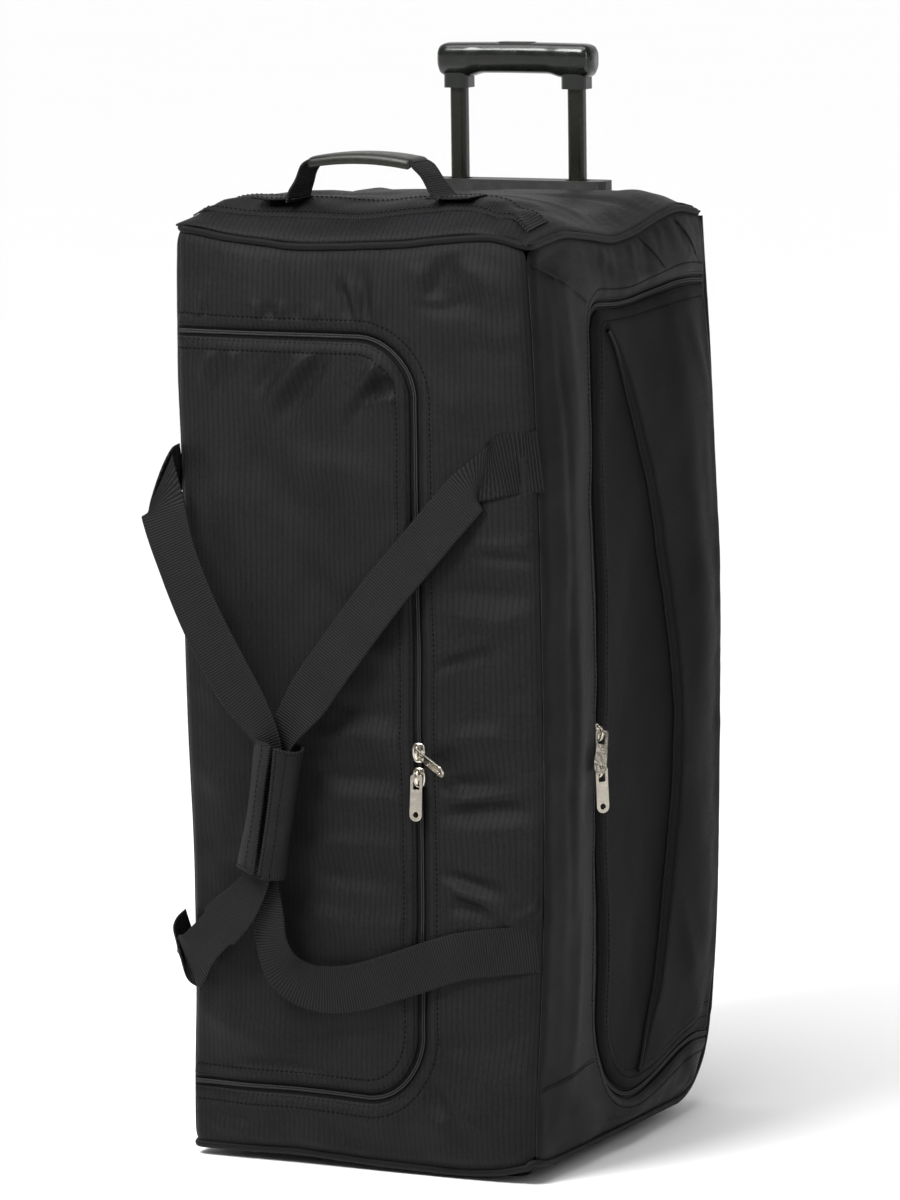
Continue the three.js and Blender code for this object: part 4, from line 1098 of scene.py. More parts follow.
# bottom, level then round the back corner
def bottom(x, s):
    """s runs from the front edge back and up the corner."""
    x, s = np.broadcast_arrays(np.asarray(x, float), np.asarray(s, float))
    flat = np.minimum(s, 102.0)
    a = np.clip((s - 102) / 66.0, 0, math.pi / 2)
    y = flat + 69 * np.sin(a)
    z = 12.0 + 69 * (1 - np.cos(a))
    z = z + (front_low(x) * sm(-40, -168, s)) * 1.0 - 0.4
    z = np.maximum(z, 2.2)
    xx = x * np.where(np.abs(x) > 100, 1.0, 1.0)
    return np.stack([xx, y, z], -1)


ss = np.concatenate([np.linspace(-168.5, 95.6, 60), np.linspace(99, 102 + 66.0 * math.pi / 2, 32)])
xs = np.sort(np.concatenate([np.linspace(-153.5, 153.5, 66), [-110.4, -77.6, 77.6, 110.4]]))
bottom_ob = plain("bottom_cloth", bottom, xs, ss, np.array((0, 0.2, -1.0)), M["base"], "bag", t=1.6,
                  keep=lambda x, s: ~((np.abs(x) > 77.7) & (np.abs(x) < 110.3) & (s > 95.6)))

# ------------------------------------------------------------------ piping
def round_path(r=9.0):
    """The level line of the top piping as (x, y), anticlockwise from the right."""
    x, y = HW - PIPE + 0.6, HD - PIPE + 0.6
    pts = []
    for cx, cy, a0 in ((x - r, y - r, 0), (-x + r, y - r, 90), (-x + r, -y + r, 180), (x - r, -y + r, 270)):
        for k in range(9):
            a = math.radians(a0 + 90 * k / 8)
            pts.append((cx + r * math.cos(a), cy + r * math.sin(a)))
    return resample(np.array(pts), 3.0, closed=True)


def rim_height(x, y):
    fx, fy = np.abs(x) / (HW - PIPE), np.abs(y) / (HD - PIPE)
    zx = np.where(x > 0, side_high(y), left_high(y))
    zy = np.where(y < 0, front_high(x), back_high(x))
    w = sm(-0.06, 0.06, fx - fy)
    return zy * (1 - w) + zx * w


rp = round_path()
path = np.stack([rp[:, 0], rp[:, 1], ZT + rim_height(rp[:, 0], rp[:, 1])], -1)
path[:, 2] += 0.35 * lumps(15, np.arange(len(rp)) * 3.0, 0 * rp[:, 0], 14, 14)
P, UV = tube(path, PIPE + 0.1 * lumps(16, np.arange(len(rp)) * 3.0, 0 * rp[:, 0], 7, 7), 12, closed=True)
B = Build()
B.grid(P, UV, close_n=True, close_m=True)
top_pipe = B.done("top_cord_edge", [M["piping"]])
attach(top_pipe, "bag")
# stitched flange under the top piping
path2 = np.stack([rp[:, 0] * 0.986, rp[:, 1] * 0.987, path[:, 2] + 4.0], -1)
P, UV = tube(path2, 1.3, 8, closed=True)
B = Build()
B.grid(P, UV, close_n=True, close_m=True)
flange2 = B.done("top_flange", [M["tape"]])
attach(flange2, "bag")


def lower_edge(sgn):
    """Back edge from the top down, round the corner and forwards along the floor to the front corner."""
    pts = []
    for z in np.linspace(ZT - 4, 81, 160):
        b = float(far_bulge(z)) * (1 if sgn > 0 else 0.5)
        pts.append((sgn * (HW - PIPE + b), HD - PIPE + 3.0 * float(far_bulge(z)) / 13, z))
    for k in range(1, 25):
        a = math.pi / 2 * k / 24
        z = 81 - 66.8 * math.sin(a)
        b = float(far_bulge(z)) * (1 if sgn > 0 else 0.5)
        pts.append((sgn * (HW - PIPE + b * 0.8), 102 + 66.8 * math.cos(a), z))
    for y in np.linspace(98, -160, 70):
        lowz = float(side_low(y)) if sgn > 0 else float(left_low(y))
        pts.append((sgn * (HW - PIPE), y, ZB + lowz))
    return pts


right_pts = lower_edge(1)
left_pts = lower_edge(-1)
front_pts = []
for x in np.linspace(HW - 10, -HW + 10, 80):
    front_pts.append((x, -HD + PIPE, ZB + float(front_low(x))))
c1 = [(HW - PIPE - 7 + 7 * math.cos(a), -HD + PIPE + 7 - 7 * math.sin(a), ZB + 3.8) for a in np.linspace(0.2, 1.4, 5)]
c2 = [(-(HW - PIPE - 7 + 7 * math.cos(a)), -HD + PIPE + 7 - 7 * math.sin(a), ZB - 5) for a in np.linspace(1.4, 0.2, 5)]
path = resample(np.array(right_pts + c1 + front_pts + c2 + left_pts[::-1]), 3.0)
path[:, 2] = np.maximum(path[:, 2], PIPE + 0.4)
P, UV = tube(path, PIPE + 0.1 * lumps(18, np.arange(len(path)) * 3.0, 0 * path[:, 0], 7, 7), 12)
B = Build()
B.grid(P, UV, close_m=True)
low_pipe = B.done("lower_cord_edge", [M["piping"]])
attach(low_pipe, "bag")

# gusset seams on the side, and the patch at the lower front corner
for k, (a, b_) in enumerate((((-168, 738), (-82, 700)), ((40, 747), (78, 712)), ((110, 745), (150, 712)), ((-166, 74), (-60, 92)))):
    s = np.linspace(0, 1, 60)
    y, z = a[0] + (b_[0] - a[0]) * s, a[1] + (b_[1] - a[1]) * s
    N = normals_of(side, y, z, np.array((1.0, 0, 0)))
    stitches(f"gusset_stitch_{k}", side(y, z, 0.15), N, "bag", r=0.4)
    B = Build()
    P, UV = tube(side(y, z + 2.0, -0.1), 0.8, 8, normal=N, squash=0.7)
    B.grid(P, UV, close_m=True)
    ob = B.done(f"gusset_fold_{k}", [M["side"]])
    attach(ob, "bag")


# ------------------------------------------------------------------ webbing
def strap(name, centre, facing_, width, t, material, body=None, scale=None, cup=None, first=None, last=None, step=2.5, extra=0.0, clear=False):
    """A woven strap along a route. first and last may give the half-width vector at an end, for a slanted fold."""
    both = spline(np.concatenate([np.asarray(centre, float), np.asarray(facing_, float) * 60], 1), step)
    c, f = both[:, :3], both[:, 3:]
    T = np.gradient(c, axis=0)
    T /= np.linalg.norm(T, axis=1)[:, None]
    F = f - T * np.sum(f * T, 1)[:, None]
    F /= np.linalg.norm(F, axis=1)[:, None]
    W = np.cross(T, F)
    s = np.concatenate([[0], np.cumsum(np.linalg.norm(np.diff(c, axis=0), axis=1))])
    half = np.full(len(c), width / 2) * (1 if scale is None else np.array([scale(*p) for p in c]))
    Wv = W * half[:, None]
    for end, vec in ((0, first), (1, last)):
        if vec is None:
            continue
        k = np.arange(len(c))
        dist = s if end == 0 else s[-1] - s
        w = (1 - sm(0, 24, dist))[:, None]
        vec = np.asarray(vec, float)
        if np.dot(vec, Wv[0 if end == 0 else -1]) < 0:
            vec = -vec
        Wv = Wv * (1 - w) + vec * w
    m = 13
    q = np.linspace(-1, 1, m)
    bend = np.zeros(len(c)) if cup is None else np.array([cup(*p) for p in c])
    edge = 1 + 0.18 * np.exp(-(((1 - np.abs(q)) / 0.08) ** 2))
    wave = 0.5 * lumps(len(name), s[:, None], q[None, :] * 14, 26, 16) * sm(0, 30, s)[:, None] * sm(0, 30, s[-1] - s)[:, None]
    lift = bend[:, None] * (q[None, :] ** 2) + wave + extra
    rows = []
    front_side = c[:, None] + Wv[:, None] * q[None, :, None] + F[:, None] * (lift + t / 2 * edge[None, :])[..., None]
    back_side = c[:, None] + Wv[:, None] * q[None, ::-1, None] + F[:, None] * (lift[:, ::-1] - t / 2 * edge[None, ::-1])[..., None]
    if clear:
        mirror = back_side[:, ::-1]
        inside = np.clip(np.maximum(front_side, mirror)[..., 0] * 0 + mirror[..., 0], -156.5, 156.5)
        face = front(inside, np.clip(mirror[..., 2], 16, 750))[..., 1]
        push = np.maximum(0, mirror[..., 1] - (face - 0.5)) * sm(160, 156, np.abs(mirror[..., 0]))
        kernel = np.array([1, 2, 3, 2, 1.0]) / 9
        push = np.maximum(push, np.apply_along_axis(lambda col: np.convolve(np.pad(col, 2, mode="edge"), kernel, "valid"), 0, push))
        front_side[..., 1] -= push
        back_side[..., 1] -= push[:, ::-1]
    rim_a = (front_side[:, -1] + back_side[:, 0]) / 2 + Wv * 0.025
    rim_b = (front_side[:, 0] + back_side[:, -1]) / 2 - Wv * 0.025
    P = np.concatenate([front_side, rim_a[:, None], back_side, rim_b[:, None]], 1)
    across = np.concatenate([q * width / 2, [width / 2 + 1], q[::-1] * width / 2, [-width / 2 - 1]])
    UV = np.stack(np.broadcast_arrays(across[None, :], s[:, None]), -1)
    B = Build()
    f = quads(P.shape[0], P.shape[1], close_m=True)
    mid = len(f) // 2
    nrm = np.cross(P.reshape(-1, 3)[f[:, 2]] - P.reshape(-1, 3)[f[:, 0]], P.reshape(-1, 3)[f[:, 3]] - P.reshape(-1, 3)[f[:, 1]])
    row0 = (f[:, 0] % P.shape[1]) < m - 1
    if np.sum(nrm[row0] * np.repeat(F, P.shape[1], 0)[f[row0, 0]]) < 0:
        f = f[:, ::-1]
    B.f.append(f)
    B.s += [0] * len(f)
    B.co.append(P.reshape(-1, 3))
    B.uv.append(UV.reshape(-1, 2))
    B.n += P.shape[0] * P.shape[1]
    # closed ends
    co = P.reshape(-1, 3)
    k = P.shape[1]
    half_f = []
    for r_ in (0, P.shape[0] - 1):
        for j in range(m - 1):
            a, b_ = r_ * k + j, r_ * k + j + 1
            c_, d_ = r_ * k + (2 * m) - j - 1, r_ * k + (2 * m) - j
            half_f.append((a, b_, c_, d_) if r_ else (d_, c_, b_, a))
    B.f.append(np.array(half_f))
    B.s += [0] * len(half_f)
    ob = B.done(name, [material])
    finer(ob)
    if body:
        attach(ob, body)
    return ob, dict(c=c, F=F, W=Wv, s=s, lift=lift, t=t)


def strap_stitch(name, info, q, inset, body=None, s0=None, s1=None, **kw):
    """Stitching along a strap at q of its half width, between two distances."""
    s = info["s"]
    keep = (s >= (s0 if s0 is not None else 0)) & (s <= (s1 if s1 is not None else s[-1]))
    c = info["c"][keep] + info["W"][keep] * q + info["F"][keep] * (info["t"] / 2 + inset)
    return stitches(name, c, info["F"][keep], body, **kw)


OUTW = (0.0, -1.0, 0.0)


def front_lift(x, z, gap):
    p = front(np.array(float(x)), np.array(float(z)))
    return (float(x), float(p[1]) - gap, float(z))


def squeeze(x, y, z):
    """Straps narrow where they pass into the wrap."""
    d = abs(z - 298.0)
    inside = 1 - float(sm(44, 98, d))
    low = float(np.exp(-(((z - 190) / 34) ** 2))) * (x < -30) * (y > -200.5)
    return 1 - 0.46 * inside - 0.14 * low


def cupping(x, y, z):
    d = abs(z - 298.0)
    return 4.2 * (1 - float(sm(40, 96, d)))


RIGHT = [
    ((121, -179.5, 573), OUTW), ((100, -184.5, 549), OUTW), ((72, -187.5, 517), OUTW), ((36, -190, 476), OUTW), ((-1, -194, 428), OUTW),
    ((-32, -197, 385), OUTW), ((-53, -199.5, 349), OUTW), ((-61, -200, 298), OUTW), ((-67, -200, 247), OUTW),
    ((-67, -199, 214), (-0.25, -1, 0)), ((-66, -196, 186), (-0.2, -1, 0)), ((-55, -192, 162), OUTW), ((-32, -189, 151), OUTW), ((2, -187, 153), OUTW),
    ((42, -185, 166), OUTW), ((90, -181, 183), OUTW), ((128, -178.5, 190), OUTW), ((150, -175.0, 193), (0.1, -1, 0)), ((159.5, -171.5, 194), (0.45, -1, 0)),
]
right_ob, right_info = strap("strap_right_web", [p for p, _ in RIGHT], [f for _, f in RIGHT], 38, 2.2, M["webbing"], scale=squeeze, cup=cupping,
                             first=(5.0, 0.6, 23.0), clear=True)
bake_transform(right_ob)
# the webbing's sewn end, which runs level into the seam and folds under the strap
PATCH = [((165.5, -170.5, 583), (0.6, -1, 0)), ((157, -173.5, 582), (0.35, -1, 0)), ((146, -175.2, 581), OUTW), ((132, -177.0, 578), OUTW), ((116, -178.5, 572), OUTW)]
patch_ob, patch_info = strap("strap_right_end", [p for p, _ in PATCH], [f for _, f in PATCH], 48, 2.0, M["gather"], last=(5.0, 0.6, 23.5), clear=True)
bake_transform(patch_ob)
LEFT = [
    ((-165, -189, 553), (0.3, -0.95, 0)), ((-157.5, -195, 529), (0.2, -1, 0)), ((-144, -201.5, 498), (0, -1, 0)), ((-121, -206.6, 451), OUTW),
    ((-90, -207.4, 398), OUTW), ((-58, -207.2, 349), OUTW), ((-61, -206.5, 298), OUTW), ((-68, -206.5, 250), OUTW), ((-86, -205, 222), OUTW),
    ((-110, -201, 199), OUTW), ((-133, -194, 178), (0.1, -1, 0)), ((-148, -186, 162), (0.3, -0.95, 0)),
]
left_strap, left_info = strap("strap_left_web", [p for p, _ in LEFT], [f for _, f in LEFT], 38, 2.2, M["webbing"], scale=squeeze, cup=cupping,
                              first=(9.9, 4.8, 24.6), last=(-7.7, -3.7, 22), clear=True)
# past each fold the webbing runs round the edge to its seam on the left side
for word, stops, vec in (
        ("upper", [((-165, -186.4, 553), (-0.3, 0.95, 0)), ((-165, -179, 558), (-1, 0.2, 0)), ((-162, -171, 563), (-1, 0, 0)), ((-158.5, -160, 566), (-1, 0.1, 0))], (9.9, 4.8, 24.6)),
        ("lower", [((-148, -183.4, 162), (-0.3, 0.95, 0)), ((-160, -180, 170), (-1, -0.3, 0)), ((-162, -171, 180), (-1, 0, 0)), ((-158.5, -160, 186), (-1, 0.1, 0))], (-7.7, -3.7, 22))):
    turn, _ = strap(f"strap_left_turn_{word}", [p for p, _ in stops], [f for _, f in stops], 38, 2.0, M["webbing"], first=vec)
    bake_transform(turn)
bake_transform(left_strap)


# ------------------------------------------------------------------ wrap round the carry straps
def wrap_cloth():
    gap_c, gap_h = math.radians(274), math.radians(8)
    n, m = 46, 44
    th = np.linspace(gap_c + gap_h, gap_c + TAU - gap_h, n)
    zs = np.linspace(-52, 52, m)
    T, Z = np.meshgrid(th, zs, indexing="ij")
    from_gap = np.minimum(T - th[0], th[-1] - T)
    lip = np.exp(-((from_gap / 0.36) ** 2))
    r_x, r_y = 21.0, 13.5
    bow = 1 - 0.05 * np.cos(np.pi * Z / 52) + 0.04 * lumps(61, T * 14, Z, 16, 22)
    X = r_x * np.cos(T) * bow
    Y = r_y * np.sin(T) * bow
    # lips stand proud, and the right one sways
    X = X + lip * np.where(T < gap_c + math.pi, 1.4, -1.6) * np.cos(np.pi * Z / 104)
    Y = Y - lip * (0.8 + 1.8 * (T < gap_c + math.pi))
    Zs = Z + 1.5 * np.sin(T * 2) + 0.02 * Z * lip
    c, s = math.cos(0.167), math.sin(0.167)
    P = np.stack([X * c + Zs * s - 61, Y - 203.6, -X * s + Zs * c + 298], -1)
    UV = np.stack([T * 19, Z], -1)
    return P, UV


P, UV = wrap_cloth()
B = Build()
f = quads(*P.shape[:2])
co = P.reshape(-1, 3)
nrm = np.cross(co[f[:, 2]] - co[f[:, 0]], co[f[:, 3]] - co[f[:, 1]])
mid_ = co[f].mean(1) - np.array((-61, -203.6, 298))
if np.sum(nrm[:, :2] * mid_[:, :2]) < 0:
    f = f[:, ::-1]
B.f.append(f)
B.s += [0] * len(f)
B.co.append(co)
B.uv.append(UV.reshape(-1, 2))
B.n += len(co)
wrap = B.done("wrap_cuff", [M["wrap"], M["wrap"]])
thick(wrap, 2.4, 0)
finer(wrap)
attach(wrap, "strap_right")
loop_pts = np.concatenate([P[:, 0], P[-1], P[::-1, -1], P[0, ::-1]])
ctr = np.array((-61, -203.6, 0))
inward = loop_pts - ctr
inward[:, 2] = 0
inward /= np.linalg.norm(inward, axis=1)[:, None]
loop_pts = resample(loop_pts - inward * 1.2, 2.0, closed=True)
TP, TUV = tube(loop_pts, 1.75, 10, closed=True)
B = Build()
B.grid(TP, TUV, close_n=True, close_m=True)
bind = B.done("wrap_binding", [M["webbing"]])
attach(bind, "strap_right")
# stitch rows inside the binding, along each lip
for k, col in enumerate((3, -4)):
    pth = P[col]
    nn = pth - ctr
    nn[:, 2] = 0
    nn /= np.linalg.norm(nn, axis=1)[:, None]
    stitches(f"wrap_stitch_{k}", pth, nn, "strap_right", r=0.32)

# ------------------------------------------------------------------ grab handle on the top
GY = -135.0


def top_z(x, y):
    return float(top(np.array(float(x)), np.array(float(y)))[2])


xs, ys = np.linspace(-150, 150, 100), GY + np.array([-19.4, -19, -18, -12, -6, 0, 6, 12, 18, 19, 19.4])
X, Y = np.meshgrid(xs, ys, indexing="ij")
edge_h = np.array([0.2, 1.5, 1.9, 1.7, 1.7, 1.7, 1.7, 1.7, 1.9, 1.5, 0.2])[None, :]
P = top(X, Y, edge_h)
B = Build()
B.grid(P, np.stack([Y - GY, X], -1), np.array((0, 0, 1.0)))
strip_ob = B.done("top_strip_web", [M["webbing"]])
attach(strip_ob, "bag")
for k, q in enumerate((-16, 16)):
    xx = np.linspace(-147, 147, 150)
    stitches(f"top_strip_stitch_{k}", top(xx, GY + q, 1.85), np.tile((0, 0, 1.0), (150, 1)), "bag")
base = 783.3
LOOP = [
    ((-63, GY, top_z(-63, GY) + 2.4), (-0.9, 0, 0.5)), ((-61, GY, base + 5), (-1, 0, 0.25)), ((-57, GY, base + 13), (-0.95, 0, 0.4)),
    ((-52, GY, base + 24), (-0.8, 0, 0.6)), ((-44, GY, base + 31), (-0.3, 0, 1)), ((-22, GY, base + 33.4), (0, 0, 1)), ((0, GY, base + 34), (0, 0, 1)),
    ((22, GY, base + 33.4), (0, 0, 1)), ((42, GY, base + 31), (0.3, 0, 1)), ((53, GY, base + 23), (0.85, 0, 0.6)),
    ((61, GY, base + 12), (0.9, 0, 0.5)), ((67, GY, base + 4), (0.8, 0, 0.6)), ((72, GY, top_z(72, GY) + 2.4), (0.7, 0, 0.7)),
]
loop_ob, loop_info = strap("grab_web", [p for p, _ in LOOP], [f for _, f in LOOP], 34, 2.4, M["webbing"], scale=lambda x, y, z: 1.2 - 0.22 * float(np.exp(-(((z - base - 18) / 9) ** 2))) - 0.2 * float(sm(26, 31, z - base)))
# The lower ends stay with the bag: two short pieces are sewn down and the loop turns above them.
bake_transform(loop_ob)
for sgn in (-1, 1):
    feet = [(sgn * x, GY, max(top_z(x * sgn, GY - 12), top_z(x * sgn, GY), top_z(x * sgn, GY + 12)) + 2.6) for x in (58, 68, 82, 97)]
    ob, info = strap(f"grab_foot_{'left' if sgn < 0 else 'right'}", feet, [(0, 0, 1.0)] * 4, 32, 1.8, M["webbing"], body="bag")
    for k, q in enumerate((-0.8, 0.8)):
        strap_stitch(f"grab_foot_stitch_{'left' if sgn < 0 else 'right'}_{k}", info, q, 0.1, "bag", s0=6)


def sleeve():
    """Moulded sleeve: an arched plate with turned-down long edges and rounded ends."""
    n, m = 41, 15
    q = np.linspace(-1, 1, n)
    prof = [(-1.0, -5.4), (-1.03, -2.0), (-0.99, 1.2), (-0.9, 2.8), (-0.7, 3.6), (-0.4, 3.9), (0, 4.0), (0.4, 3.9), (0.7, 3.6), (0.9, 2.8), (0.99, 1.2),
            (1.03, -2.0), (1.0, -5.4)]
    lines = []
    for x_ in q:
        end = math.sqrt(max(0, 1 - max(0, (abs(x_) - 0.93) / 0.07) ** 2))
        w = 17.6 * (0.82 + 0.18 * end)
        z0 = base + 34 - 4.4 * x_ * x_
        lines.append([(47 * x_, GY + a * w, z0 + b_ * (0.35 + 0.65 * end)) for a, b_ in prof])
    P = np.array(lines)
    return P


P = sleeve()
B = Build()
UV = np.stack(np.broadcast_arrays(np.linspace(0, 50, P.shape[1])[None, :], np.linspace(0, 94, P.shape[0])[:, None]), -1)
B.grid(P, UV, np.array((0, 0, 1.0)))
sl = B.done("grab_sleeve_shell", [M["grab"]])
thick(sl, 1.5, 0)
finer(sl)
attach(sl, "grab_handle")

# ------------------------------------------------------------------ trolley grip
def grip():
    n, m = 72, 40
    q = np.linspace(-1, 1, n)
    ang = np.arange(m) / m * TAU
    rows_ = []
    for t in q:
        x_ = 70 * t
        e = min(1.0, max(0.0, (1 - abs(t)) / 0.14))
        cap_ = math.sqrt(max(0.0, 1 - (1 - e) ** 2)) if e < 1 else 1.0
        shoulder = float(sm(0.42, 0.62, abs(t)))
        zc = 881.0 - 0.8 * t * t
        up_h, dn_h = 12.2 * (0.62 + 0.38 * cap_), (13.6 + 3.0 * shoulder) * (0.62 + 0.38 * cap_)
        hy = 12.8 * (0.7 + 0.3 * cap_) * (0.96 + 0.04 * shoulder)
        row_ = []
        for a in ang:
            ca, sa = math.cos(a), math.sin(a)
            k = (abs(ca) ** 3.2 + abs(sa) ** 3.2) ** (-1 / 3.2)
            row_.append((x_, 148 + hy * k * ca, zc + (up_h if sa > 0 else dn_h) * k * sa))
        rows_.append(row_)
    return np.array(rows_)


P = grip()
B = Build()
UV = np.stack(np.broadcast_arrays(np.linspace(0, 90, P.shape[1])[None, :], np.linspace(0, 140, P.shape[0])[:, None]), -1)
f = quads(P.shape[0], P.shape[1], close_m=True)
co = P.reshape(-1, 3)
nrm = np.cross(co[f[:, 2]] - co[f[:, 0]], co[f[:, 3]] - co[f[:, 1]])
mid_ = co[f].mean(1) - np.array((0, 148, 880))
if np.sum(nrm[:, 1:] * mid_[:, 1:]) < 0:
    f = f[:, ::-1]
    flip = True
else:
    flip = False
# the well for the button stays open
c = co[f].mean(1)
ok = ~((np.abs(c[:, 0]) < 17.2) & (np.abs(c[:, 1] - 148) < 7.0) & (c[:, 2] > 885))
B.f.append(f[ok])
B.s += [0] * int(ok.sum())
B.co.append(co)
B.uv.append(UV.reshape(-1, 2))
B.n += len(co)
grip_ob = B.done("trolley_grip_shell", [M["grip"]])
bm = bmesh.new()
bm.from_mesh(grip_ob.data)
open_edges = [e for e in bm.edges if e.is_boundary]
ends = [e for e in open_edges if abs(abs(e.verts[0].co.x * 1000 - OX) - 70) < 0.6]
bmesh.ops.holes_fill(bm, edges=ends, sides=0)
well = [e for e in bm.edges if e.is_boundary]
ext = bmesh.ops.extrude_edge_only(bm, edges=well)
for v in [g for g in ext["geom"] if isinstance(g, bmesh.types.BMVert)]:
    v.co.z -= 0.006
bmesh.ops.recalc_face_normals(bm, faces=bm.faces)
bm.to_mesh(grip_ob.data)
bm.free()
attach(grip_ob, "trolley_inner")

# ------------------------------------------------------------------ wheels
def lathe(name, prof, s, material, body, n=96, warp=None):
    """Turned about the axle of the wheel on side s. prof holds (radius, along the axle)."""
    prof = np.array(prof, float)
    a = np.arange(n) / n * TAU
    r, w = prof[:, 0][None, :], prof[:, 1][None, :]
    R = r + 0 * a[:, None]
    if warp is not None:
        R = warp(R, w + 0 * R, a[:, None] + 0 * R)
    P = np.stack([s * 94 + w + 0 * R, 140 + R * np.cos(a)[:, None], 33 + R * np.sin(a)[:, None]], -1)
    B = Build()
    f = quads(P.shape[0], P.shape[1], close_n=True)
    co = P.reshape(-1, 3)
    L = np.concatenate([[0], np.cumsum(np.linalg.norm(np.diff(prof, axis=0), axis=1))])
    UV = np.stack(np.broadcast_arrays(L[None, :], (a * 30)[:, None]), -1)
    B.f.append(f)
    B.s += [0] * len(f)
    B.co.append(co)
    B.uv.append(UV.reshape(-1, 2))
    B.n += len(co)
    ob = B.done(name, [material], weld=0.001)
    bm = bmesh.new()
    bm.from_mesh(ob.data)
    bmesh.ops.recalc_face_normals(bm, faces=bm.faces)
    bm.to_mesh(ob.data)
    bm.free()
    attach(ob, body)
    return ob


for word, s in (("left", -1), ("right", 1)):
    tyre = [(24.0, -11.6), (27.5, -12), (30.2, -11.9), (31.8, -11.0), (32.6, -9.3), (32.95, -7), (32.95, -4.6), (32.2, -4.1), (32.2, -3.3), (32.95, -2.8),
            (32.95, 2.8), (32.2, 3.3), (32.2, 4.1), (32.95, 4.6), (32.95, 7), (32.6, 9.3), (31.8, 11.0), (30.2, 11.9), (27.5, 12), (24.0, 11.6), (24.0, -11.6)]

    def tread(R, w, a):
        notch = (np.abs(w) > 5) & (R > 31.5)
        return R - notch * 0.5 * (np.sin(a * 24) > 0.6)

    lathe(f"tyre_{word}", tyre, s, M["tyre"], f"wheel_{word}", warp=tread)

    def spokes(R, w, a):
        return R

    hub = [(4.2, -11.8), (7.6, -11.8), (8.4, -11.2), (8.8, -9.2), (9.6, -8.6), (18.2, -8.6), (19.2, -9.2), (19.9, -11.2), (20.6, -11.8), (23.6, -11.8), (23.7, 11.8), (20.6, 11.8),
           (19.9, 11.2), (19.2, 9.2), (18.2, 8.6), (9.6, 8.6), (8.8, 9.2), (8.4, 11.2), (7.6, 11.8), (4.2, 11.8), (4.2, -11.8)]
    lathe(f"hub_{word}", hub, s, M["hub"], f"wheel_{word}")
    for side_k in (-1, 1):
        B = Build()
        for k in range(6):
            a = TAU * k / 6
            ca, sa = math.cos(a), math.sin(a)
            r_ = np.linspace(8.6, 19.8, 8)
            cen = np.stack([np.full(8, s * 94 + side_k * 9.2), 140 + r_ * ca, 33 + r_ * sa], -1)
            P, UV = tube(cen, 2.0 - 0.05 * (r_ - 8.6), 10, normal=np.tile((1.0, 0, 0), (8, 1)), squash=0.85)
            B.grid(P, UV, close_m=True)
        ob = B.done(f"spokes_{word}_{'in' if side_k * s < 0 else 'out'}", [M["hub"]])
        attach(ob, f"wheel_{word}")

# ------------------------------------------------------------------ pocket tray
tray_x = 157 - 4 - 0.3
ys, zs = np.linspace(-72, 128, 44), np.linspace(60, 700, 110)
Y, Z = np.meshgrid(ys, zs, indexing="ij")
deep = sm(0, 10, -POCKET.dist(Y, Z) + 2) * sm(0, 10, 126 - Y)
ok = POCKET.dist(Y, Z) < 7
P = np.stack([tray_x - 21 * deep + 0.8 * lumps(71, Y, Z, 30, 40), Y, Z], -1)
B = Build()
f = quads(*P.shape[:2])
f = facing(P.reshape(-1, 3), f, np.array((1.0, 0, 0)))
f = f[ok.reshape(-1)[f].all(1)]
B.f.append(f)
B.s += [0] * len(f)
B.co.append(P.reshape(-1, 3))
B.uv.append(np.stack([Y, Z], -1).reshape(-1, 2))
B.n += P.shape[0] * P.shape[1]
tray = B.done("pocket_tray_cloth", [M["lining"]])
bm = bmesh.new()
bm.from_mesh(tray.data)
bmesh.ops.delete(bm, geom=[v for v in bm.verts if not v.link_faces], context="VERTS")
bm.to_mesh(tray.data)
bm.free()
thick(tray, 1.0, 0)
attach(tray, "bag")

# ------------------------------------------------------------------ zip sliders and their pulls
def plate():
    """The pull tab in its own plane: the hinge at the origin, the tab below it, a window at the top and a hole at the foot."""
    cu_ = bpy.data.curves.new("plate", "CURVE")
    cu_.dimensions = "2D"
    cu_.fill_mode = "BOTH"
    cu_.extrude, cu_.bevel_depth, cu_.bevel_resolution = 0.42, 0.26, 2

    def loop(pts):
        sp = cu_.splines.new("POLY")
        sp.points.add(len(pts) - 1)
        for q, (x_, y_) in zip(sp.points, pts):
            q.co = (x_, y_, 0, 1)
        sp.use_cyclic_u = True

    def arc_(cx, cy, r, a0, a1, n=10):
        return [(cx + r * math.cos(math.radians(a0 + (a1 - a0) * k / n)), cy + r * math.sin(math.radians(a0 + (a1 - a0) * k / n))) for k in range(n + 1)]

    loop(arc_(3.2, 0.2, 1.9, 0, 90, 6) + arc_(-3.2, 0.2, 1.9, 90, 180, 6) + [(-5.0, -12)] + arc_(0, -29.4, 5.2, 180, 360, 22) + [(5.0, -12)])
    loop(arc_(1.9, -2.4, 1.2, 0, 90, 4) + arc_(-1.9, -2.4, 1.2, 90, 180, 4) + arc_(-1.9, -8.6, 1.2, 180, 270, 4) + arc_(1.9, -8.6, 1.2, 270, 360, 4))
    loop(arc_(0, -29.6, 2.6, 0, 342, 19))
    tmp = bpy.data.objects.new("plate", cu_)
    scene.collection.objects.link(tmp)
    me = bpy.data.meshes.new_from_object(tmp.evaluated_get(bpy.context.evaluated_depsgraph_get()))
    co_ = np.array([tuple(v.co) for v in me.vertices])
    f_ = [tuple(q.vertices) for q in me.polygons]
    bpy.data.objects.remove(tmp)
    bpy.data.curves.remove(cu_)
    bpy.data.meshes.remove(me)
    return co_, f_


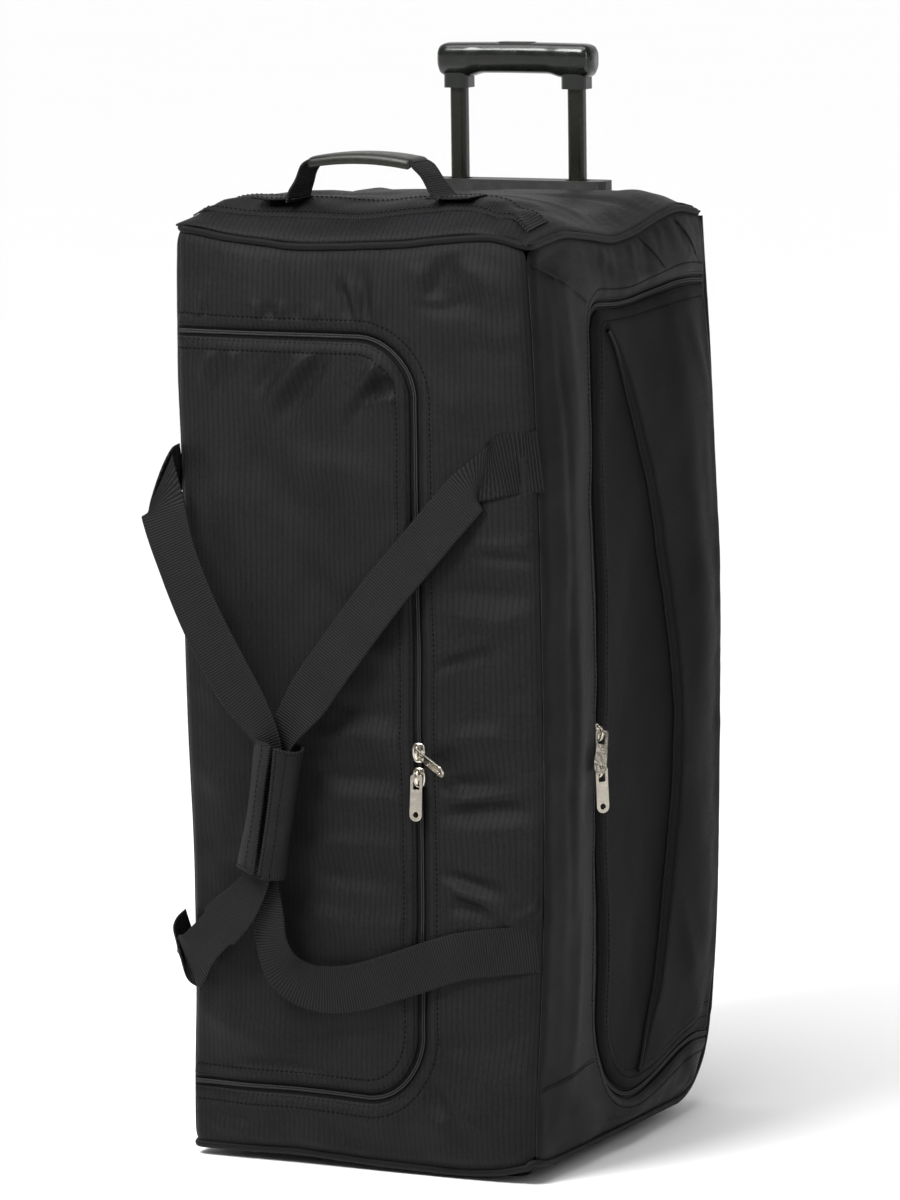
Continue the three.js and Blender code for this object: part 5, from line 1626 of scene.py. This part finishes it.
def pebble(a, b, c, power=3.0, n=28, m=18):
    th = np.arange(n) / n * TAU
    ph = np.linspace(-math.pi / 2 + 0.02, math.pi / 2 - 0.02, m)
    ct, st = np.cos(th)[:, None], np.sin(th)[:, None]
    k = (np.abs(ct) ** power + np.abs(st) ** power) ** (-1 / power)
    cp, sp = np.cos(ph)[None, :], np.sin(ph)[None, :]
    kk = (np.abs(cp) ** 2.6 + np.abs(sp) ** 2.6) ** (-1 / 2.6)
    return np.stack([a * k * ct * cp * kk, b * k * st * cp * kk, c * (sp * kk) + 0 * ct], -1)


PLATE = plate()


def orient(frame_axes, origin, co_):
    """Local (across, up, out) millimetres into bag millimetres."""
    return np.asarray(origin) + np.asarray(co_) @ np.array(frame_axes)


def slider(name, origin, axes, body, node):
    B = Build()
    P = pebble(6.0, 8.2, 1.75)
    taper = 1 - 0.16 * sm(2, -8, P[..., 1])
    P = np.stack([P[..., 0] * taper, P[..., 1], P[..., 2] + 1.5], -1)
    Q = orient(axes, origin, P)
    UV = P[..., :2]
    f = quads(P.shape[0], P.shape[1], close_n=True)
    co_ = Q.reshape(-1, 3)
    nrm_ = np.cross(co_[f[:, 2]] - co_[f[:, 0]], co_[f[:, 3]] - co_[f[:, 1]])
    if np.sum(nrm_ * (co_[f].mean(1) - co_.mean(0))) < 0:
        f = f[:, ::-1]
    B.f.append(f)
    B.s += [0] * len(f)
    B.co.append(co_)
    B.uv.append(UV.reshape(-1, 2))
    B.n += len(co_)
    a = np.linspace(0, math.pi, 26)
    loc = np.stack([0 * a, 5.6 * np.cos(a), 2.2 + 5.0 * np.sin(a) ** 0.7], -1)
    path_ = orient(axes, origin, loc)
    P, UV = tube(path_, 1.15, 10, normal=np.tile(np.array(axes[0]), (len(a), 1)), squash=1.35)
    B.grid(P, UV, close_m=True)
    for sx_ in (-1, 1):
        a = np.linspace(-6.6, 6.6, 14)
        loc = np.stack([sx_ * (5.3 - 0.02 * a * a) + 0 * a, a, 0.4 + 0 * a], -1)
        P, UV = tube(orient(axes, origin, loc), 0.9, 8, normal=np.tile(np.array(axes[2]), (len(a), 1)))
        B.grid(P, UV, close_m=True)
    ob = B.done(name, [M["nickel"]])
    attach(ob, body)
    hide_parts(node)
    return ob


def pull(name, hinge, down, across, body, node):
    d = np.array(down, float)
    d /= np.linalg.norm(d)
    w = np.array(across, float)
    w -= d * np.dot(w, d)
    w /= np.linalg.norm(w)
    n_ = np.cross(w, -d)
    co_, f_ = PLATE
    Q = np.asarray(hinge) + co_[:, :1] * w + co_[:, 1:2] * -d + co_[:, 2:] * n_
    me_uv = co_[:, :2]
    ob = put(name, Q, f_, me_uv, [M["nickel"]], smooth=False)
    bm_ = bmesh.new()
    bm_.from_mesh(ob.data)
    bmesh.ops.remove_doubles(bm_, verts=bm_.verts, dist=1e-6)
    bmesh.ops.recalc_face_normals(bm_, faces=bm_.faces)
    bm_.to_mesh(ob.data)
    bm_.free()
    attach(ob, body)
    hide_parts(node)
    return ob


FA = ((1.0, 0, 0), (0, 0, 1.0), (0, -1.0, 0))
SA = ((0, 1.0, 0), (0, 0, 1.0), (1.0, 0, 0))
for word, z_, d_, w_ in (("upper", 346.0, (0.86, -0.36, -0.40), (0.36, -0.55, 0.6)), ("lower", 326.0, (0.0, -0.08, -1.0), (1.0, 0, 0))):
    o = front(np.array(57.0), np.array(z_), 0.6)
    short = "up" if word == "upper" else "low"
    slider(f"front_slider_{short}_head", o, FA, f"front_slider_{short}", f"front_slider_{word}")
    pull(f"front_pull_{short}_tab", o + np.array((0.6 if word == "upper" else 0, -6.3, 0.5)), d_, w_, f"front_pull_{short}", f"front_pull_{word}")
for word, z_, d_, w_ in (("upper", 352.0, (0.14, -0.44, -0.87), (0.72, 0.6, -0.1)), ("lower", 322.0, (0.05, -0.04, -1.0), (0.66, 0.72, 0))):
    o = side(np.array(-70.0), np.array(z_), 0.6)
    short = "up" if word == "upper" else "low"
    slider(f"pocket_slider_{short}_head", o, SA, f"pocket_slider_{short}", f"pocket_slider_{word}")
    pull(f"pocket_pull_{short}_tab", o + np.array((6.6, 0, 0.5)), d_, w_, f"pocket_pull_{short}", f"pocket_pull_{word}")

# ------------------------------------------------------------------ what stands for which CAD solid
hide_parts("front_panel")
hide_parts("flap_panel")
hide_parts("front_zip_tape_outer")
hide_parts("flap_zip_tape")
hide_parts("right_side_panel")
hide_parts("pocket_panel")
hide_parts("pocket_zip_tape_outer")
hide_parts("pocket_zip_tape_inner")
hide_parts("pocket_arc_piping")
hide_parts("left_side_panel")
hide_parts("back_panel")
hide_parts("top_panel")
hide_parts("bottom_panel")
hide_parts("top_piping")
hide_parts("bottom_piping")
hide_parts("top_webbing")
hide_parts("carry_strap_right")
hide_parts("carry_strap_left")
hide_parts("handle_wrap")
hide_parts("grab_webbing")
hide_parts("grab_sleeve")
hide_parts("trolley_grip")
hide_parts("pocket_lining")
for word in ("left", "right"):
    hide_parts(f"wheel_tyre_{word}")
    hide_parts(f"wheel_hub_{word}")

# ------------------------------------------------------------------ materials and softened edges of the CAD nodes that stay
KEEP = {
    "tube": ["outer_tube_left", "outer_tube_right", "mid_tube_left", "mid_tube_right", "inner_tube_left", "inner_tube_right"],
    "grip": ["grip_collar_left", "grip_collar_right"],
    "base_plastic": ["top_bezel", "tube_foot_bracket", "wheel_housing_left", "wheel_housing_right", "skid_rail_left", "skid_rail_right", "release_button"],
    "steel": ["axle_left", "axle_right"],
    "foot": ["front_foot_left", "front_foot_right"],
    "lining": ["back_lining_board"],
}
M["lining_solid"] = hard("lining_board", (0.03, 0.031, 0.034), 0.55, grain=300, depth=0.5, vary=0.3)
for key, names in KEEP.items():
    for name in names:
        ob = NODES[name]
        mt = M["lining_solid"] if key == "lining" else M[key]
        ob.data.materials.clear()
        ob.data.materials.append(mt)
        for p in ob.data.polygons:
            p.material_index = 0
        bv = ob.modifiers.new("soft_edges", "BEVEL")
        bv.width = {"tube": 0.0002, "grip": 0.0008, "base_plastic": 0.0008, "steel": 0.0005, "foot": 0.0012, "lining": 0.001}[key]
        bv.segments = 2
        bv.limit_method = "ANGLE"
        bv.angle_limit = math.radians(40)
        bv.harden_normals = False
        ob.data.polygons.foreach_set("use_smooth", np.full(len(ob.data.polygons), True))
        ws = ob.modifiers.new("even_normals", "WEIGHTED_NORMAL")
        ws.keep_sharp = True

# ------------------------------------------------------------------ stage and light
bpy.ops.mesh.primitive_circle_add(vertices=96, radius=70, fill_type="NGON", location=(0, 0, 0))
floor = bpy.context.object
floor.name = "floor"
fm, ft, fb = new_material("floor_white", (0.93, 0.93, 0.93), 0.7, 0, 0.2)
fn = Nodes(ft)
tone = fn.noise(fn.new("ShaderNodeTexCoord").outputs["Object"], 1.3, 3.0)
fn.link(fn.mix(tone, (0.925, 0.925, 0.925), (0.935, 0.935, 0.935)), fb.inputs["Base Color"])
floor.data.materials.append(fm)

world = bpy.data.worlds.new("studio")
scene.world = world
world.use_nodes = True
bg = world.node_tree.nodes["Background"]
# a bright backdrop behind the bag, a dimmer room round it
wn = Nodes(world.node_tree)
way = wn.new("ShaderNodeVectorMath", operation="DOT_PRODUCT")
wn.link(wn.new("ShaderNodeTexCoord").outputs["Generated"], way.inputs[0])
way.inputs[1].default_value = (-math.sin(AZ), math.cos(AZ), 0)
wn.link(wn.ramp(way.outputs["Value"], (0.0, 0.9), (0.16, 0.95)), bg.inputs[1])
bg.inputs[0].default_value = (1, 1, 1, 1)


def area(name, at, to, size, size_y, power):
    d = bpy.data.lights.new(name, "AREA")
    d.shape = "RECTANGLE"
    d.size, d.size_y = size, size_y
    d.energy = power
    ob = bpy.data.objects.new(name, d)
    scene.collection.objects.link(ob)
    at, to = Vector(at), Vector(to)
    ob.location = at
    ob.rotation_euler = (to - at).to_track_quat("-Z", "Y").to_euler()
    return ob


area("key_front", (-0.55, -1.55, 2.15), (0.05, -0.15, 0.55), 0.9, 0.9, 66)
area("strip_right", (2.0, -1.6, 1.5), (0.1, -0.1, 0.5), 0.3, 1.6, 15)
sun = bpy.data.lights.new("ceiling", "SUN")
sun.energy = 2.4
sun.angle = math.radians(50)
sun_ob = bpy.data.objects.new("ceiling", sun)
scene.collection.objects.link(sun_ob)
sun_ob.rotation_euler = (Vector((0, 0, 0)) - Vector((-0.12, -0.3, 1.0))).to_track_quat("-Z", "Y").to_euler()

scene.view_settings.view_transform = "Standard"
scene.view_settings.look = "None"
